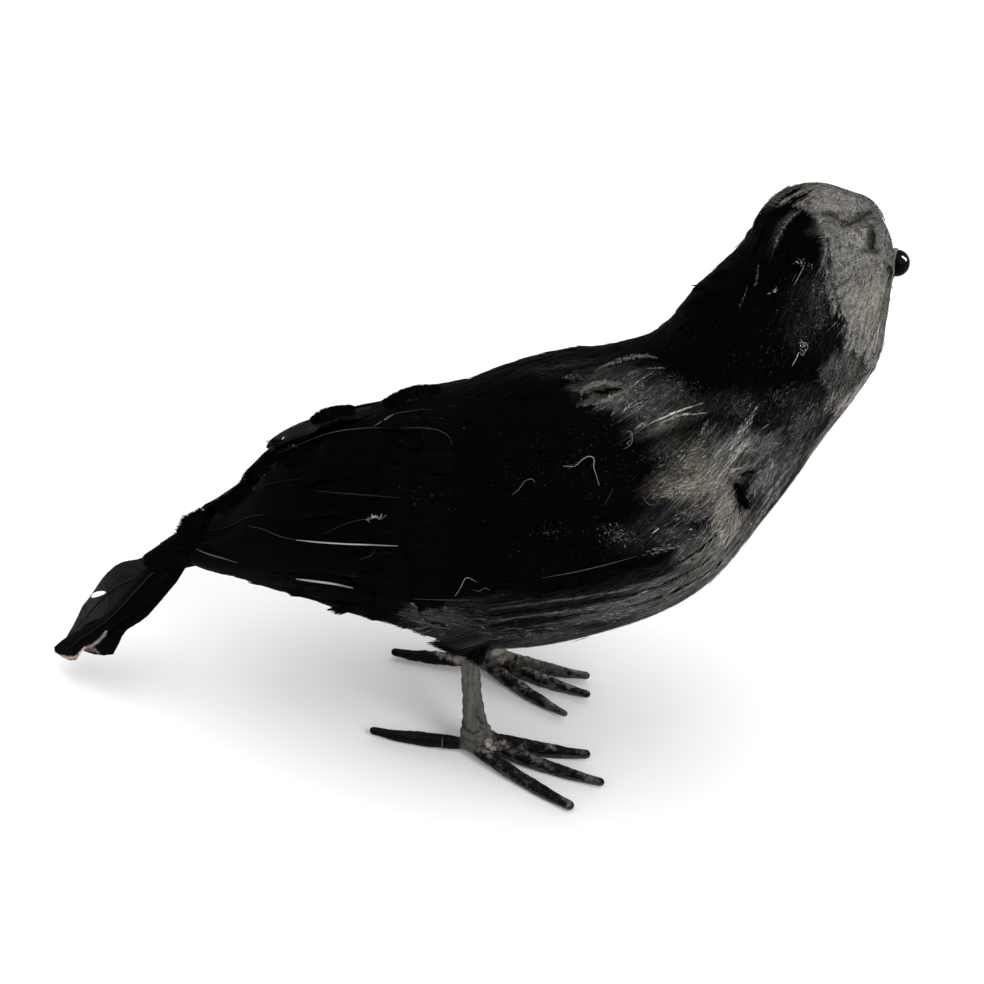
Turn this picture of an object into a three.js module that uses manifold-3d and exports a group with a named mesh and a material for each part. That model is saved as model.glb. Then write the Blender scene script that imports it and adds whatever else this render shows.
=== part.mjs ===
// A standing crow figurine: a plump stuffed body with its plumage, folded wings of long
// separate feathers, a drooping tail of three feathers, a moulded bill, two bead eyes
// and two wire legs bound with tape. Millimetres, +X ahead, +Y to the bird's left, +Z up.
// The origin is on the ground, under the middle of the whole figure.
import * as THREE from "three";
import Module from "manifold-3d";

const wasm = await Module();
wasm.setup();

// ---------------------------------------------------------------- sizes
const GAP = 0.3; // between pieces that meet

// The body is a row of sections along a spine: x, y, z of the centre, then how far the
// skin stands from it towards the back, the belly, the bird's right and the bird's left.
const SPINE = [
  { x: -89, y: 0, z: 57.5, back: 6.5, belly: 6.0, right: 7.0, left: 7.0 },
  { x: -80, y: 0, z: 59.5, back: 10.5, belly: 10.0, right: 11.5, left: 12.0 },
  { x: -64, y: 0, z: 64.5, back: 18.0, belly: 18.5, right: 20.0, left: 21.0 },
  { x: -46, y: 0, z: 70.5, back: 26.0, belly: 27.5, right: 28.5, left: 29.5 },
  { x: -22, y: 0, z: 74.8, back: 34.0, belly: 35.5, right: 35.5, left: 37.0 },
  { x: 3, y: 0, z: 77.5, back: 39.6, belly: 41.8, right: 41.8, left: 41.4 },
  { x: 26, y: 0, z: 85.0, back: 42.0, belly: 42.2, right: 42.7, left: 43.5 },
  { x: 46, y: 0, z: 95.5, back: 39.3, belly: 40.3, right: 41.3, left: 41.5 },
  { x: 62, y: 0, z: 109.5, back: 33.3, belly: 32.6, right: 32.6, left: 34.2 },
  { x: 74, y: 0, z: 125.5, back: 28.0, belly: 28.2, right: 27.6, left: 27.8 },
  { x: 84, y: 0.5, z: 143.5, back: 26.9, belly: 27.2, right: 26.0, left: 27.0 },
  { x: 90.6, y: 2, z: 159.5, back: 21.8, belly: 24.0, right: 22.0, left: 25.0 },
  { x: 93.6, y: 3, z: 169.0, back: 20.0, belly: 21.6, right: 20.2, left: 23.8 },
];
const CROWN_RISE = 18.6; // from the last section to the top of the head
const CROWN_SET = 1.2; // how far the crown is set towards the nape
const BODY_RINGS = 36;
const BODY_SIDES = 32;
// Behind the wing coverts the body steps in, and the long feathers lie in that step.
const STEP = { at: 3.93, over: 0.09, deep: 3.9, lowest: -14, fade: 16 };

// Head features. The head looks to the bird's left and a little down.
const HEAD = { x: 94, y: 3.5, z: 166 };
const LOOK_AZIMUTH = 76; // degrees from straight ahead
const LOOK_DOWN = 27;
const FACE = { length: 33, high: 18.8, wide: 19.5, rise: 2.0 };
const BILL = { length: 44, fromCentre: 19, high: 17.5, wide: 14, drop: 3.5 };
const EYE = { r: 4.1, ahead: 10.6, side: 18.9, up: -1.6, leftOut: 0.6 };

// Wings. A feather runs from its root to its tip over the wing's own surface, which lies
// just outside the body: x along the body, and an angle up from the bird's side.
const WING = { thick: 0.75, step: 1.45, rootStep: 1.0, lay: 0.095, over: -1.6, tipRadius: 8.2 };
const LEFT_WING_LIFT = 4.6; // the left wing stands a little off the back
const WING_FEATHERS = [
  { name: "outer_primary", x0: -14, a0: -13, xm: -52, am: -17, x1: -93.5, a1: 16, up: 12, down: 4.0 },
  { name: "primary", x0: -14, a0: 5, xm: -52, am: 4, x1: -95, a1: 34, up: 12, down: 9.5 },
  { name: "inner_primary", x0: -14, a0: 22, xm: -50, am: 23, x1: -91, a1: 47, up: 12.5, down: 10 },
  { name: "secondary", x0: -14, a0: 41, xm: -48, am: 42, x1: -83, a1: 58, up: 12, down: 10.5 },
  { name: "tertial", x0: -14, a0: 61, xm: -42, am: 61, x1: -66, a1: 70, up: 12.5, down: 12 },
];

// The tail: three feathers in layers, fanned a little, that hang behind the rump.
const TAIL_ROOT = { x: -87, y: 0, z: 57, drop: 44.5, turn: 1, roll: 32 };
const TAIL = [
  { name: "tail_feather_right", layer: -1.7, fan: -6, length: 56, wide: 7.0 },
  { name: "tail_feather_middle", layer: 0, fan: -1, length: 64, wide: 7.4 },
  { name: "tail_feather_left", layer: 1.7, fan: 4, length: 71, wide: 7.2 },
];

// Legs: bound wire, with three toes ahead and one behind, in the plane of the ground.
const LEG_RADIUS = 3.1;
const TOE_RADIUS = 2.45;
const SOLE_CUT = 0.55; // how far the round toes are flattened underneath
const LEGS = [
  {
    side: "right",
    x: 1.3,
    y: -23,
    toes: [
      { name: "inner", angle: -2, length: 34.6 },
      { name: "middle", angle: -17.3, length: 41.8 },
      { name: "outer", angle: -37.0, length: 39.0 },
      { name: "hind", angle: 174.3, length: 33.3 },
    ],
  },
  {
    side: "left",
    x: 0.5,
    y: 17.1,
    toes: [
      { name: "inner", angle: -5.8, length: 33.1 },
      { name: "middle", angle: -20.2, length: 35.9 },
      { name: "outer", angle: -39.5, length: 35.3 },
      { name: "hind", angle: 176.6, length: 31.0 },
    ],
  },
];

// ---------------------------------------------------------------- colours
const finish = (hex, roughness, metalness = 0) =>
  new THREE.MeshStandardMaterial({ color: hex, roughness, metalness });
const PLUMAGE = finish(0x101011, 0.85);
const VANE = finish(0x0b0b0c, 0.55);
const HORN = finish(0x141416, 0.35);
const BEAD = finish(0x030303, 0.06);
const TAPE = finish(0x6b6a66, 0.8);

// ---------------------------------------------------------------- helpers
const V = (x, y, z) => new THREE.Vector3(x, y, z);
const rad = THREE.MathUtils.degToRad;
const lerp = THREE.MathUtils.lerp;
const clamp = THREE.MathUtils.clamp;
const smooth = (a, b, x) => {
  // 0 at a and before it, 1 at b and beyond it, whichever of them is the larger
  const t = clamp((x - a) / (b - a), 0, 1);
  return t * t * (3 - 2 * t);
};

// One closed skin over a row of rings with equally many points each.
function skin(rings) {
  const n = rings[0].length;
  const position = [];
  rings.forEach((ring) => ring.forEach((p) => position.push(p.x, p.y, p.z)));
  const index = [];
  for (let i = 0; i < rings.length - 1; i++)
    for (let j = 0; j < n; j++) {
      const k = (j + 1) % n;
      const a = i * n + j, b = i * n + k, c = (i + 1) * n + j, d = (i + 1) * n + k;
      index.push(a, b, d, a, d, c);
    }
  for (const [at, flip] of [[0, true], [rings.length - 1, false]]) {
    const middle = rings[at].reduce((s, p) => s.add(p), V(0, 0, 0)).divideScalar(n);
    const m = position.length / 3;
    position.push(middle.x, middle.y, middle.z);
    for (let j = 0; j < n; j++) {
      const a = at * n + j, b = at * n + ((j + 1) % n);
      if (flip) index.push(b, a, m);
      else index.push(a, b, m);
    }
  }
  const g = new THREE.BufferGeometry();
  g.setAttribute("position", new THREE.Float32BufferAttribute(position, 3));
  g.setIndex(index);
  return g;
}

function solid(g) {
  const make = (index) =>
    new wasm.Manifold(
      new wasm.Mesh({
        numProp: 3,
        vertProperties: new Float32Array(g.getAttribute("position").array),
        triVerts: new Uint32Array(index),
      }),
    );
  const index = Array.from(g.index.array);
  const made = make(index);
  if (made.volume() > 0) return made;
  for (let i = 0; i < index.length; i += 3)
    [index[i + 1], index[i + 2]] = [index[i + 2], index[i + 1]];
  return make(index);
}

function geometry(manifold) {
  const m = manifold.getMesh();
  const p = new Float32Array(m.numVert * 3);
  for (let i = 0; i < m.numVert; i++)
    for (let k = 0; k < 3; k++) p[i * 3 + k] = m.vertProperties[i * m.numProp + k];
  const g = new THREE.BufferGeometry();
  g.setAttribute("position", new THREE.BufferAttribute(p, 3));
  g.setIndex(new THREE.BufferAttribute(new Uint32Array(m.triVerts), 1));
  g.computeVertexNormals();
  return g;
}

// The largest body of what a cut leaves.
function largest(manifold) {
  return manifold.decompose().reduce((a, b) => (b.volume() > a.volume() ? b : a));
}

// A round rod along a curve with a radius that changes along it.
function rod(points, radius, rings, sides, round = false) {
  const curve = new THREE.CatmullRomCurve3(points, false, "centripetal");
  const frames = curve.computeFrenetFrames(rings - 1, false);
  const out = [];
  for (let i = 0; i < rings; i++) {
    const t = i / (rings - 1);
    const c = curve.getPointAt(t);
    const ring = [];
    for (let j = 0; j < sides; j++) {
      const a = (j / sides) * 2 * Math.PI;
      const r = radius(t);
      ring.push(
        c.clone()
          .addScaledVector(frames.normals[i], r * Math.cos(a))
          .addScaledVector(frames.binormals[i], r * Math.sin(a)),
      );
    }
    out.push(ring);
  }
  if (round) {
    const end = curve.getPointAt(1), along = curve.getTangentAt(1), r = radius(1);
    for (const [ahead, size] of [[0.5, 0.86], [0.88, 0.46]])
      out.push(out[rings - 1].map((p) => p.clone().sub(end).multiplyScalar(size).add(end).addScaledVector(along, ahead * r)));
  }
  return skin(out);
}

// ---------------------------------------------------------------- body
// Smooth values through the stations, by cubic steps with slopes from the neighbours.
function spineAt(s) {
  const i = clamp(Math.floor(s), 0, SPINE.length - 2);
  const t = s - i;
  const p0 = SPINE[Math.max(0, i - 1)], p1 = SPINE[i], p2 = SPINE[i + 1];
  const p3 = SPINE[Math.min(SPINE.length - 1, i + 2)];
  const out = {};
  for (const k of Object.keys(p1)) {
    const level = i + 2 === SPINE.length && !"xyz".includes(k); // the crown joins without an edge
    const m1 = (p2[k] - p0[k]) / 2, m2 = level ? 0 : (p3[k] - p1[k]) / 2;
    const t2 = t * t, t3 = t2 * t;
    out[k] =
      (2 * t3 - 3 * t2 + 1) * p1[k] + (t3 - 2 * t2 + t) * m1 +
      (-2 * t3 + 3 * t2) * p2[k] + (t3 - t2) * m2;
  }
  return out;
}

function spineFrame(s) {
  const c = spineAt(s);
  const a = spineAt(Math.max(0, s - 0.05)), b = spineAt(Math.min(SPINE.length - 1, s + 0.05));
  const along = V(b.x - a.x, b.y - a.y, b.z - a.z).normalize();
  const left = V(0, 1, 0).addScaledVector(along, -along.y).normalize();
  const back = along.clone().cross(left).normalize(); // towards the bird's back
  if (back.z < 0 && back.x > 0) back.negate();
  return { c, at: V(c.x, c.y, c.z), along, left, back };
}

// A point of the skin: s along the spine, a around it from the bird's left over its back.
function skinPoint(s, a, grow = 0, shrink = 1, ahead = 0) {
  const f = spineFrame(s);
  const ca = Math.cos(a), sa = Math.sin(a);
  const up = THREE.MathUtils.radToDeg(Math.asin(sa)); // from the side, up or down
  const inward =
    STEP.deep * (1 - smooth(STEP.at - STEP.over, STEP.at + STEP.over, s)) *
    smooth(STEP.lowest - STEP.fade, STEP.lowest, up) * smooth(0, 0.7, s);
  const side = (ca > 0 ? f.c.left : f.c.right) * shrink + grow - inward;
  const high = (sa > 0 ? f.c.back : f.c.belly) * shrink + grow - inward;
  return f.at.clone()
    .addScaledVector(f.left, side * ca)
    .addScaledVector(f.back, high * sa)
    .addScaledVector(f.along, ahead);
}

function bodySkin(grow, rings, sides) {
  const out = [];
  const last = SPINE.length - 1;
  const ring = (s, shrink, ahead, g) => {
    const row = [];
    for (let j = 0; j < sides; j++)
      row.push(skinPoint(s, (j / sides) * 2 * Math.PI, g, shrink, ahead));
    return row;
  };
  // The rump closes as a short round end, and the crown as a dome.
  for (const q of [0.45, 0.78, 0.95])
    out.push(ring(0, q, -(4.5 + grow) * Math.sqrt(1 - q * q), grow * q));
  const stations = [STEP.at - STEP.over, STEP.at - 0.4 * STEP.over, STEP.at + 0.4 * STEP.over, STEP.at + STEP.over];
  for (let i = 0; i <= rings; i++) {
    const s = (i / rings) * last;
    if (stations.every((q) => Math.abs(q - s) > 0.12)) stations.push(s);
  }
  stations.sort((a, b) => a - b).forEach((s) => out.push(ring(s, 1, 0, grow)));
  const away = spineFrame(last).back;
  for (let i = 1; i <= 7; i++) {
    const q = (i / 7.5) * (Math.PI / 2);
    const row = ring(last, Math.cos(q), (CROWN_RISE + grow) * Math.sin(q), grow * Math.cos(q));
    row.forEach((p) => p.addScaledVector(away, CROWN_SET * Math.sin(q)));
    out.push(row);
  }
  return skin(out);
}

// The face runs forward from the head to the root of the bill.
const look = V(
  Math.cos(rad(LOOK_AZIMUTH)) * Math.cos(rad(LOOK_DOWN)),
  Math.sin(rad(LOOK_AZIMUTH)) * Math.cos(rad(LOOK_DOWN)),
  -Math.sin(rad(LOOK_DOWN)),
);
const headUp = V(0, 0, 1).addScaledVector(look, -look.z).normalize();
const headSide = look.clone().cross(headUp).normalize(); // to the head's own right
const headAt = V(HEAD.x, HEAD.y, HEAD.z);
function face(grow) {
  const rings = [];
  for (let i = 0; i <= 12; i++) {
    const t = i / 12;
    const r = Math.pow(Math.max(0, 1 - Math.pow(t, 2.1)), 0.62);
    const ring = [];
    for (let j = 0; j < 20; j++) {
      const a = (j / 20) * 2 * Math.PI;
      ring.push(
        headAt.clone()
          .addScaledVector(look, (FACE.length + grow) * t)
          .addScaledVector(headUp, FACE.rise * (1 - t) + (FACE.high * r + grow) * Math.sin(a) * (t < 1 ? 1 : 0.05))
          .addScaledVector(headSide, (FACE.wide * r + grow) * Math.cos(a) * (t < 1 ? 1 : 0.05)),
      );
    }
    rings.push(ring);
  }
  return solid(skin(rings));
}

const bodySolid = solid(bodySkin(0, BODY_RINGS, BODY_SIDES)).add(face(0));
const bodyClear = solid(bodySkin(GAP, BODY_RINGS, BODY_SIDES)).add(face(GAP));

// ---------------------------------------------------------------- wings
// The body's own distance from the line (x, 0, zc) at an angle up from the bird's side,
// found by walking out until the point is outside the spine's sections.
function outside(p) {
  let best = 0, least = 1e9;
  for (let s = 0; s <= 8; s += 0.125) {
    const c = spineAt(s);
    const d = (p.x - c.x) ** 2 + (p.z - c.z) ** 2;
    if (d < least) { least = d; best = s; }
  }
  for (let step = 0.06; step > 0.002; step /= 2)
    for (const s of [best - step, best + step]) {
      if (s < 0) continue;
      const c = spineAt(s);
      const d = (p.x - c.x) ** 2 + (p.z - c.z) ** 2;
      if (d < least) { least = d; best = s; }
    }
  const f = spineFrame(best);
  const r = p.clone().sub(f.at);
  const u = r.dot(f.left) / (r.dot(f.left) > 0 ? f.c.left : f.c.right);
  const v = r.dot(f.back) / (r.dot(f.back) > 0 ? f.c.back : f.c.belly);
  return u * u + v * v > 1;
}
const middleZ = (x) => {
  let a = 0, b = 8;
  for (let i = 0; i < 40; i++) {
    const m = (a + b) / 2;
    if (spineAt(m).x < x) a = m;
    else b = m;
  }
  return spineAt((a + b) / 2).z;
};
const known = new Map();
function bodyReach(x, degrees) {
  const key = Math.round(x * 2) + ":" + Math.round(degrees / 3);
  if (!known.has(key)) {
    const xx = Math.round(x * 2) / 2, a = rad(Math.round(degrees / 3) * 3);
    const z = middleZ(Math.max(xx, -89));
    let lo = 0, hi = 60;
    if (xx <= -89) hi = 6;
    else
      for (let i = 0; i < 22; i++) {
        const m = (lo + hi) / 2;
        if (outside(V(xx, -m * Math.cos(a), z + m * Math.sin(a)))) hi = m;
        else lo = m;
      }
    known.set(key, hi);
  }
  return known.get(key);
}
// Even values between the sampled angles and stations.
function reach(x, degrees) {
  const x0 = Math.floor(x * 2) / 2, tx = (x - x0) * 2;
  const d0 = Math.floor(degrees / 3) * 3, td = (degrees - d0) / 3;
  return lerp(
    lerp(bodyReach(x0, d0), bodyReach(x0 + 0.5, d0), tx),
    lerp(bodyReach(x0, d0 + 3), bodyReach(x0 + 0.5, d0 + 3), tx),
    td,
  );
}
function wingPoint(x, degrees, off) {
  const r = Math.max(reach(x, degrees), WING.tipRadius - 2.5);
  const base = Math.sqrt(r * r + (WING.tipRadius / 2.2) ** 2);
  const a = rad(degrees);
  const d = base + off;
  const z = middleZ(Math.max(x, -89)) + Math.min(0, x + 89) * 0.35;
  return V(x, -d * Math.cos(a), z + d * Math.sin(a));
}

// The shaft of feather k at x: its angle, from the root by way of the middle to the tip.
function shaftAngle(f, x) {
  const l0 = ((x - f.xm) * (x - f.x1)) / ((f.x0 - f.xm) * (f.x0 - f.x1));
  const l1 = ((x - f.x0) * (x - f.x1)) / ((f.xm - f.x0) * (f.xm - f.x1));
  const l2 = ((x - f.x0) * (x - f.xm)) / ((f.x1 - f.x0) * (f.x1 - f.xm));
  return l0 * f.a0 + l1 * f.am + l2 * f.a1;
}
// How far feather k lies out: each one clears the feather under it.
function layer(k, x) {
  let out = 0;
  for (let j = 0; j < k; j++) {
    const f = WING_FEATHERS[j], g = WING_FEATHERS[j + 1];
    const r = Math.max(10, reach(x, (shaftAngle(f, x) + shaftAngle(g, x)) / 2));
    const apart = rad(shaftAngle(g, x) - shaftAngle(f, x)) * r;
    const need = Math.max(0, lerp(WING.step, WING.rootStep, smooth(-60, -28, x)) - WING.lay * apart);
    out += need * smooth(f.x1 - 9, f.x1 - 1, x);
  }
  return out;
}
function wingFeather(k, mirror) {
  const f = WING_FEATHERS[k];
  const rings = [];
  const count = 13;
  for (let i = 0; i < count; i++) {
    const t = i / (count - 1);
    const u = t * t * (3 - 2 * t) * 0.35 + t * 0.65; // closer rings at both ends
    const x = lerp(f.x0, f.x1, u);
    const angle = shaftAngle(f, x);
    const r = Math.max(9, reach(x, angle));
    const root = 0.55 + 0.45 * smooth(0, 0.3, u);
    const end = Math.sqrt(Math.max(0.02, 1 - Math.pow(Math.max(0, (u - 0.8) / 0.2), 2.2)));
    const up = Math.min(f.up * root * end, rad(88 - angle) * r);
    const down = f.down * root * end;
    const lift = mirror ? LEFT_WING_LIFT * (0.5 + 0.125 * k) * smooth(-16, -52, x) : 0;
    const out = WING.over + layer(k, x) + lift;
    const point = (y, proud) =>
      wingPoint(x, angle + (y / (r + out)) * (180 / Math.PI), out + proud - WING.lay * y);
    const h = WING.thick / 2;
    rings.push([
      point(-down, 0),
      point(-down * 0.55, h * 0.8),
      point(-0.9, h),
      point(0, h + 0.25),
      point(0.9, h),
      point(up * 0.55, h * 0.8),
      point(up, 0),
      point(up * 0.5, -h),
      point(0, -h),
      point(-down * 0.5, -h),
    ]);
  }
  if (mirror) rings.forEach((ring) => ring.forEach((p) => (p.y = -p.y)));
  return largest(solid(skin(rings)).subtract(bodyClear));
}

// ---------------------------------------------------------------- tail
function tailFeather(f) {
  const drop = rad(TAIL_ROOT.drop), turn = rad(TAIL_ROOT.turn), roll = rad(TAIL_ROOT.roll);
  const main = V(-Math.cos(drop) * Math.cos(turn), Math.cos(drop) * Math.sin(turn), -Math.sin(drop));
  const left = V(Math.sin(turn), Math.cos(turn), 0);
  const top = left.clone().cross(main).normalize();
  if (top.z < 0) top.negate();
  const side = left.clone().multiplyScalar(Math.cos(roll)).addScaledVector(top, Math.sin(roll));
  const over = top.clone().multiplyScalar(Math.cos(roll)).addScaledVector(left, -Math.sin(roll));
  const fan = rad(f.fan);
  const along = main.clone().multiplyScalar(Math.cos(fan)).addScaledVector(side, Math.sin(fan));
  const across = side.clone().multiplyScalar(Math.cos(fan)).addScaledVector(main, -Math.sin(fan));
  const root = V(TAIL_ROOT.x, TAIL_ROOT.y, TAIL_ROOT.z);
  const rings = [];
  const count = 12;
  for (let i = 0; i < count; i++) {
    const t = i / (count - 1);
    const c = root.clone()
      .addScaledVector(over, f.layer + 1.6 * Math.sin(Math.PI * t))
      .addScaledVector(along, f.length * t);
    const from = 0.35 + 0.65 * smooth(0, 0.55, t);
    const end = Math.sqrt(Math.max(0.16, 1 - Math.pow(Math.max(0, (t - 0.84) / 0.16), 2.6)));
    const w = f.wide * from * end;
    const p = (y, lift) =>
      c.clone().addScaledVector(across, y).addScaledVector(over, lift - (y * y) / 60);
    const h = 0.4;
    rings.push([
      p(-w, 0), p(-w * 0.5, h * 0.8), p(-0.8, h), p(0, h + 0.25), p(0.8, h), p(w * 0.5, h * 0.8),
      p(w, 0), p(w * 0.5, -h), p(0, -h), p(-w * 0.5, -h),
    ]);
  }
  return largest(solid(skin(rings)).subtract(bodyClear));
}

// ---------------------------------------------------------------- head
// The bill: a deep root that narrows to a point bent a little down, with the gape line
// pressed along each side.
function bill() {
  const rings = [];
  const count = 13, sides = 16;
  for (let i = 0; i < count; i++) {
    const t = i / (count - 1);
    const taper = Math.pow(1 - t, 0.62) * 0.97 + 0.03;
    const high = (BILL.high / 2) * taper, wide = (BILL.wide / 2) * taper;
    const c = headAt.clone()
      .addScaledVector(look, BILL.fromCentre - 8 + (BILL.length + 8) * t)
      .addScaledVector(headUp, -BILL.drop * t * t - 1.5);
    const ring = [];
    for (let j = 0; j < sides; j++) {
      const a = (j / sides) * 2 * Math.PI;
      const ca = Math.cos(a), sa = Math.sin(a);
      const pinch = 1 - 0.07 * Math.exp(-Math.pow((sa + 0.18) / 0.12, 2)) * (1 - t);
      ring.push(
        c.clone()
          .addScaledVector(headSide, wide * ca * pinch)
          .addScaledVector(headUp, high * sa * (sa < 0 ? 0.82 : 1.05)),
      );
    }
    rings.push(ring);
  }
  return solid(skin(rings)).subtract(bodyClear);
}

function eye(side) {
  const flat = V(look.x, look.y, 0).normalize();
  const right = V(flat.y, -flat.x, 0);
  const out = side === "right" ? EYE.side : -(EYE.side + EYE.leftOut);
  const at = headAt.clone()
    .addScaledVector(flat, EYE.ahead)
    .addScaledVector(right, out)
    .add(V(0, 0, EYE.up));
  return ball(EYE.r, at, 16, 10).subtract(bodyClear);
}
// A ball as rings from pole to pole, placed at a point.
function ball(radius, at, widthSegments, heightSegments) {
  const rings = [];
  for (let i = 1; i < heightSegments; i++) {
    const b = (i / heightSegments) * Math.PI;
    const ring = [];
    for (let j = 0; j < widthSegments; j++) {
      const a = (j / widthSegments) * 2 * Math.PI;
      ring.push(
        V(radius * Math.sin(b) * Math.cos(a), radius * Math.sin(b) * Math.sin(a), radius * Math.cos(b)).add(at),
      );
    }
    rings.push(ring);
  }
  return solid(skin(rings));
}

// ---------------------------------------------------------------- legs
function leg(spec) {
  const up = spineAt(5.1).z; // well inside the body
  const top = V(spec.x - 1.5, spec.y * 0.96, up);
  const shank = solid(
    rod(
      [V(spec.x, spec.y, 1.6), V(spec.x, spec.y, 12), V(spec.x - 0.8, spec.y, 26), top],
      (t) => LEG_RADIUS * (1 + 0.5 * Math.exp(-Math.pow(t / 0.085, 2)) + 0.05 * Math.sin(40 * t)),
      12,
      11,
    ),
  );
  let made = shank;
  for (const toe of spec.toes) {
    const a = rad(toe.angle);
    const dir = V(Math.cos(a), Math.sin(a), 0);
    const at = (d, z) => V(spec.x + dir.x * d, spec.y + dir.y * d, z);
    const low = TOE_RADIUS - SOLE_CUT;
    const hind = toe.name === "hind";
    const path = [
      at(-1.5, 4.6),
      at(toe.length * 0.2, hind ? 3.6 : 4.0),
      at(toe.length * 0.5, low + 0.25),
      at(toe.length * 0.8, low - 0.25),
      at(toe.length, low + 0.1),
    ];
    const radius = (t) =>
      TOE_RADIUS * (0.98 + 0.12 * Math.sin(Math.PI * clamp(t * 1.25, 0, 1))) *
      (1 - 0.4 * Math.pow(smooth(0.6, 1, t), 1.2));
    made = made.add(solid(rod(path, radius, 8, 8, true)));
  }
  // flat underneath, where it stands, and free of the body above
  const box = skin([
    [V(-100, -100, -20), V(100, -100, -20), V(100, 100, -20), V(-100, 100, -20)],
    [V(-100, -100, 0), V(100, -100, 0), V(100, 100, 0), V(-100, 100, 0)],
  ]);
  return made.subtract(solid(box)).subtract(bodyClear);
}

// ---------------------------------------------------------------- the figure
const crow = new THREE.Group();
function add(name, made, material) {
  const mesh = new THREE.Mesh(geometry(made), material);
  mesh.name = name;
  crow.add(mesh);
  return mesh;
}

add("body", bodySolid, PLUMAGE);
add("bill", bill(), HORN);
add("eye_right", eye("right"), BEAD);
add("eye_left", eye("left"), BEAD);
WING_FEATHERS.forEach((f, k) => {
  add("right_wing_" + f.name, wingFeather(k, false), VANE);
  add("left_wing_" + f.name, wingFeather(k, true), VANE);
});
TAIL.forEach((f) => add(f.name, tailFeather(f), VANE));
LEGS.forEach((spec) => add("leg_" + spec.side, leg(spec), TAPE));

// The origin lies on the ground under the middle of the whole figure.
const box = new THREE.Box3().setFromObject(crow);
const middle = box.getCenter(V(0, 0, 0));
crow.position.set(-middle.x, -middle.y, -box.min.z);

export default crow;
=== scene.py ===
import math

import bpy
import numpy as np
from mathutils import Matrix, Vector
from mathutils.bvhtree import BVHTree


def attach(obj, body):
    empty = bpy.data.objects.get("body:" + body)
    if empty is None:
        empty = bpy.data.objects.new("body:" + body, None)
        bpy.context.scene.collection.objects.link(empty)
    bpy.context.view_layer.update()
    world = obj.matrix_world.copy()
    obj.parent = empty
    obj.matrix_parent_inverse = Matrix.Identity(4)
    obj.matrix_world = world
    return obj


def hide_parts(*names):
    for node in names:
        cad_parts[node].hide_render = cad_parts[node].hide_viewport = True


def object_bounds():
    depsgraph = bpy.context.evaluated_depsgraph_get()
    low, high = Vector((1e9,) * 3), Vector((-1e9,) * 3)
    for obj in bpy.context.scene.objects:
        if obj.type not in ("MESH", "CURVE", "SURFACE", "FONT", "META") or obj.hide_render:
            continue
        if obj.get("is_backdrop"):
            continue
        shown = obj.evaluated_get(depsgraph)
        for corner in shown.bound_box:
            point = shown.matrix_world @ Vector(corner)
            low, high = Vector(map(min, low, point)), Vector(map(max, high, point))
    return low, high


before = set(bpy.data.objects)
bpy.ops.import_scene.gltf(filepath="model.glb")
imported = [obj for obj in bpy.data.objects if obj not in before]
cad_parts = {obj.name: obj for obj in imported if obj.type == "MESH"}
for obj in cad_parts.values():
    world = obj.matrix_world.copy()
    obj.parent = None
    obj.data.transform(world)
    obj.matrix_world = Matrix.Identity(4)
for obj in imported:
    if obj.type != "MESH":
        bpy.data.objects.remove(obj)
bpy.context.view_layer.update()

# Everything below is in mm from the point on the ground between the feet; the
# meshes are written in metres from the middle of the figure.
MM = 0.001
SHIFT = np.array([11.048256, -4.000908, 0.0])
TAU = 2 * math.pi
rng = np.random.default_rng(20)

# --------------------------------------------------------------------------
# Camera, at the photograph's viewing angle
# --------------------------------------------------------------------------
ELEV, AZIM, DIST = math.radians(36), math.radians(6), 620.0
SIZE, FOCAL = 984, 2067.0
TARGET = np.array([3.9, 0.0, 84.0])
V_RIGHT = np.array([math.cos(AZIM), math.sin(AZIM), 0.0])
V_BACK = np.array(
    [math.sin(AZIM) * math.cos(ELEV), -math.cos(AZIM) * math.cos(ELEV), math.sin(ELEV)]
)
V_UP = np.cross(V_BACK, V_RIGHT)
EYE_AT = TARGET + V_BACK * DIST

cam_data = bpy.data.cameras.new("camera")
cam = bpy.data.objects.new("camera", cam_data)
bpy.context.scene.collection.objects.link(cam)
cam.location = Vector((EYE_AT + SHIFT) * MM)
cam.rotation_euler = Vector((-V_BACK).tolist()).to_track_quat("-Z", "Y").to_euler()
cam_data.sensor_width = 36.0
cam_data.lens = 36.0 * FOCAL / SIZE
cam_data.clip_start, cam_data.clip_end = 0.01, 20
bpy.context.scene.camera = cam
bpy.context.scene.view_settings.view_transform = "Standard"


def place(p):
    """Where points (mm) of the figure lie in the photograph's frame, in its pixels."""
    q = np.asarray(p, float) - EYE_AT
    z = -(q @ V_BACK)
    return 492 + FOCAL * (q @ V_RIGHT) / z, 492 - FOCAL * (q @ V_UP) / z


def sm(a, b, x):
    t = np.clip((np.asarray(x, float) - a) / (b - a), 0, 1)
    return t * t * (3 - 2 * t)


def unit(v):
    return v / np.maximum(np.linalg.norm(v, axis=-1, keepdims=True), 1e-9)


def _hash(ix, iy, iz, seed):
    h = (
        ix.astype(np.int64) * 374761393
        + iy.astype(np.int64) * 668265263
        + iz.astype(np.int64) * 1440670441
        + seed * 974634777
    ) & 0xFFFFFFFF
    h = ((h ^ (h >> 13)) * 1274126177) & 0xFFFFFFFF
    h = (h ^ (h >> 16)) & 0xFFFFFF
    return h / float(0xFFFFFF)


def noise3(p, seed=0):
    """Smooth value noise, -1 to 1, at points p (..., 3)."""
    p = np.asarray(p, float)
    i = np.floor(p).astype(np.int64)
    f = p - i
    f = f * f * (3 - 2 * f)
    out = 0
    for dx in (0, 1):
        wx = f[..., 0] if dx else 1 - f[..., 0]
        for dy in (0, 1):
            wy = f[..., 1] if dy else 1 - f[..., 1]
            for dz in (0, 1):
                wz = f[..., 2] if dz else 1 - f[..., 2]
                out = out + wx * wy * wz * _hash(
                    i[..., 0] + dx, i[..., 1] + dy, i[..., 2] + dz, seed
                )
    return out * 2 - 1


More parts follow.
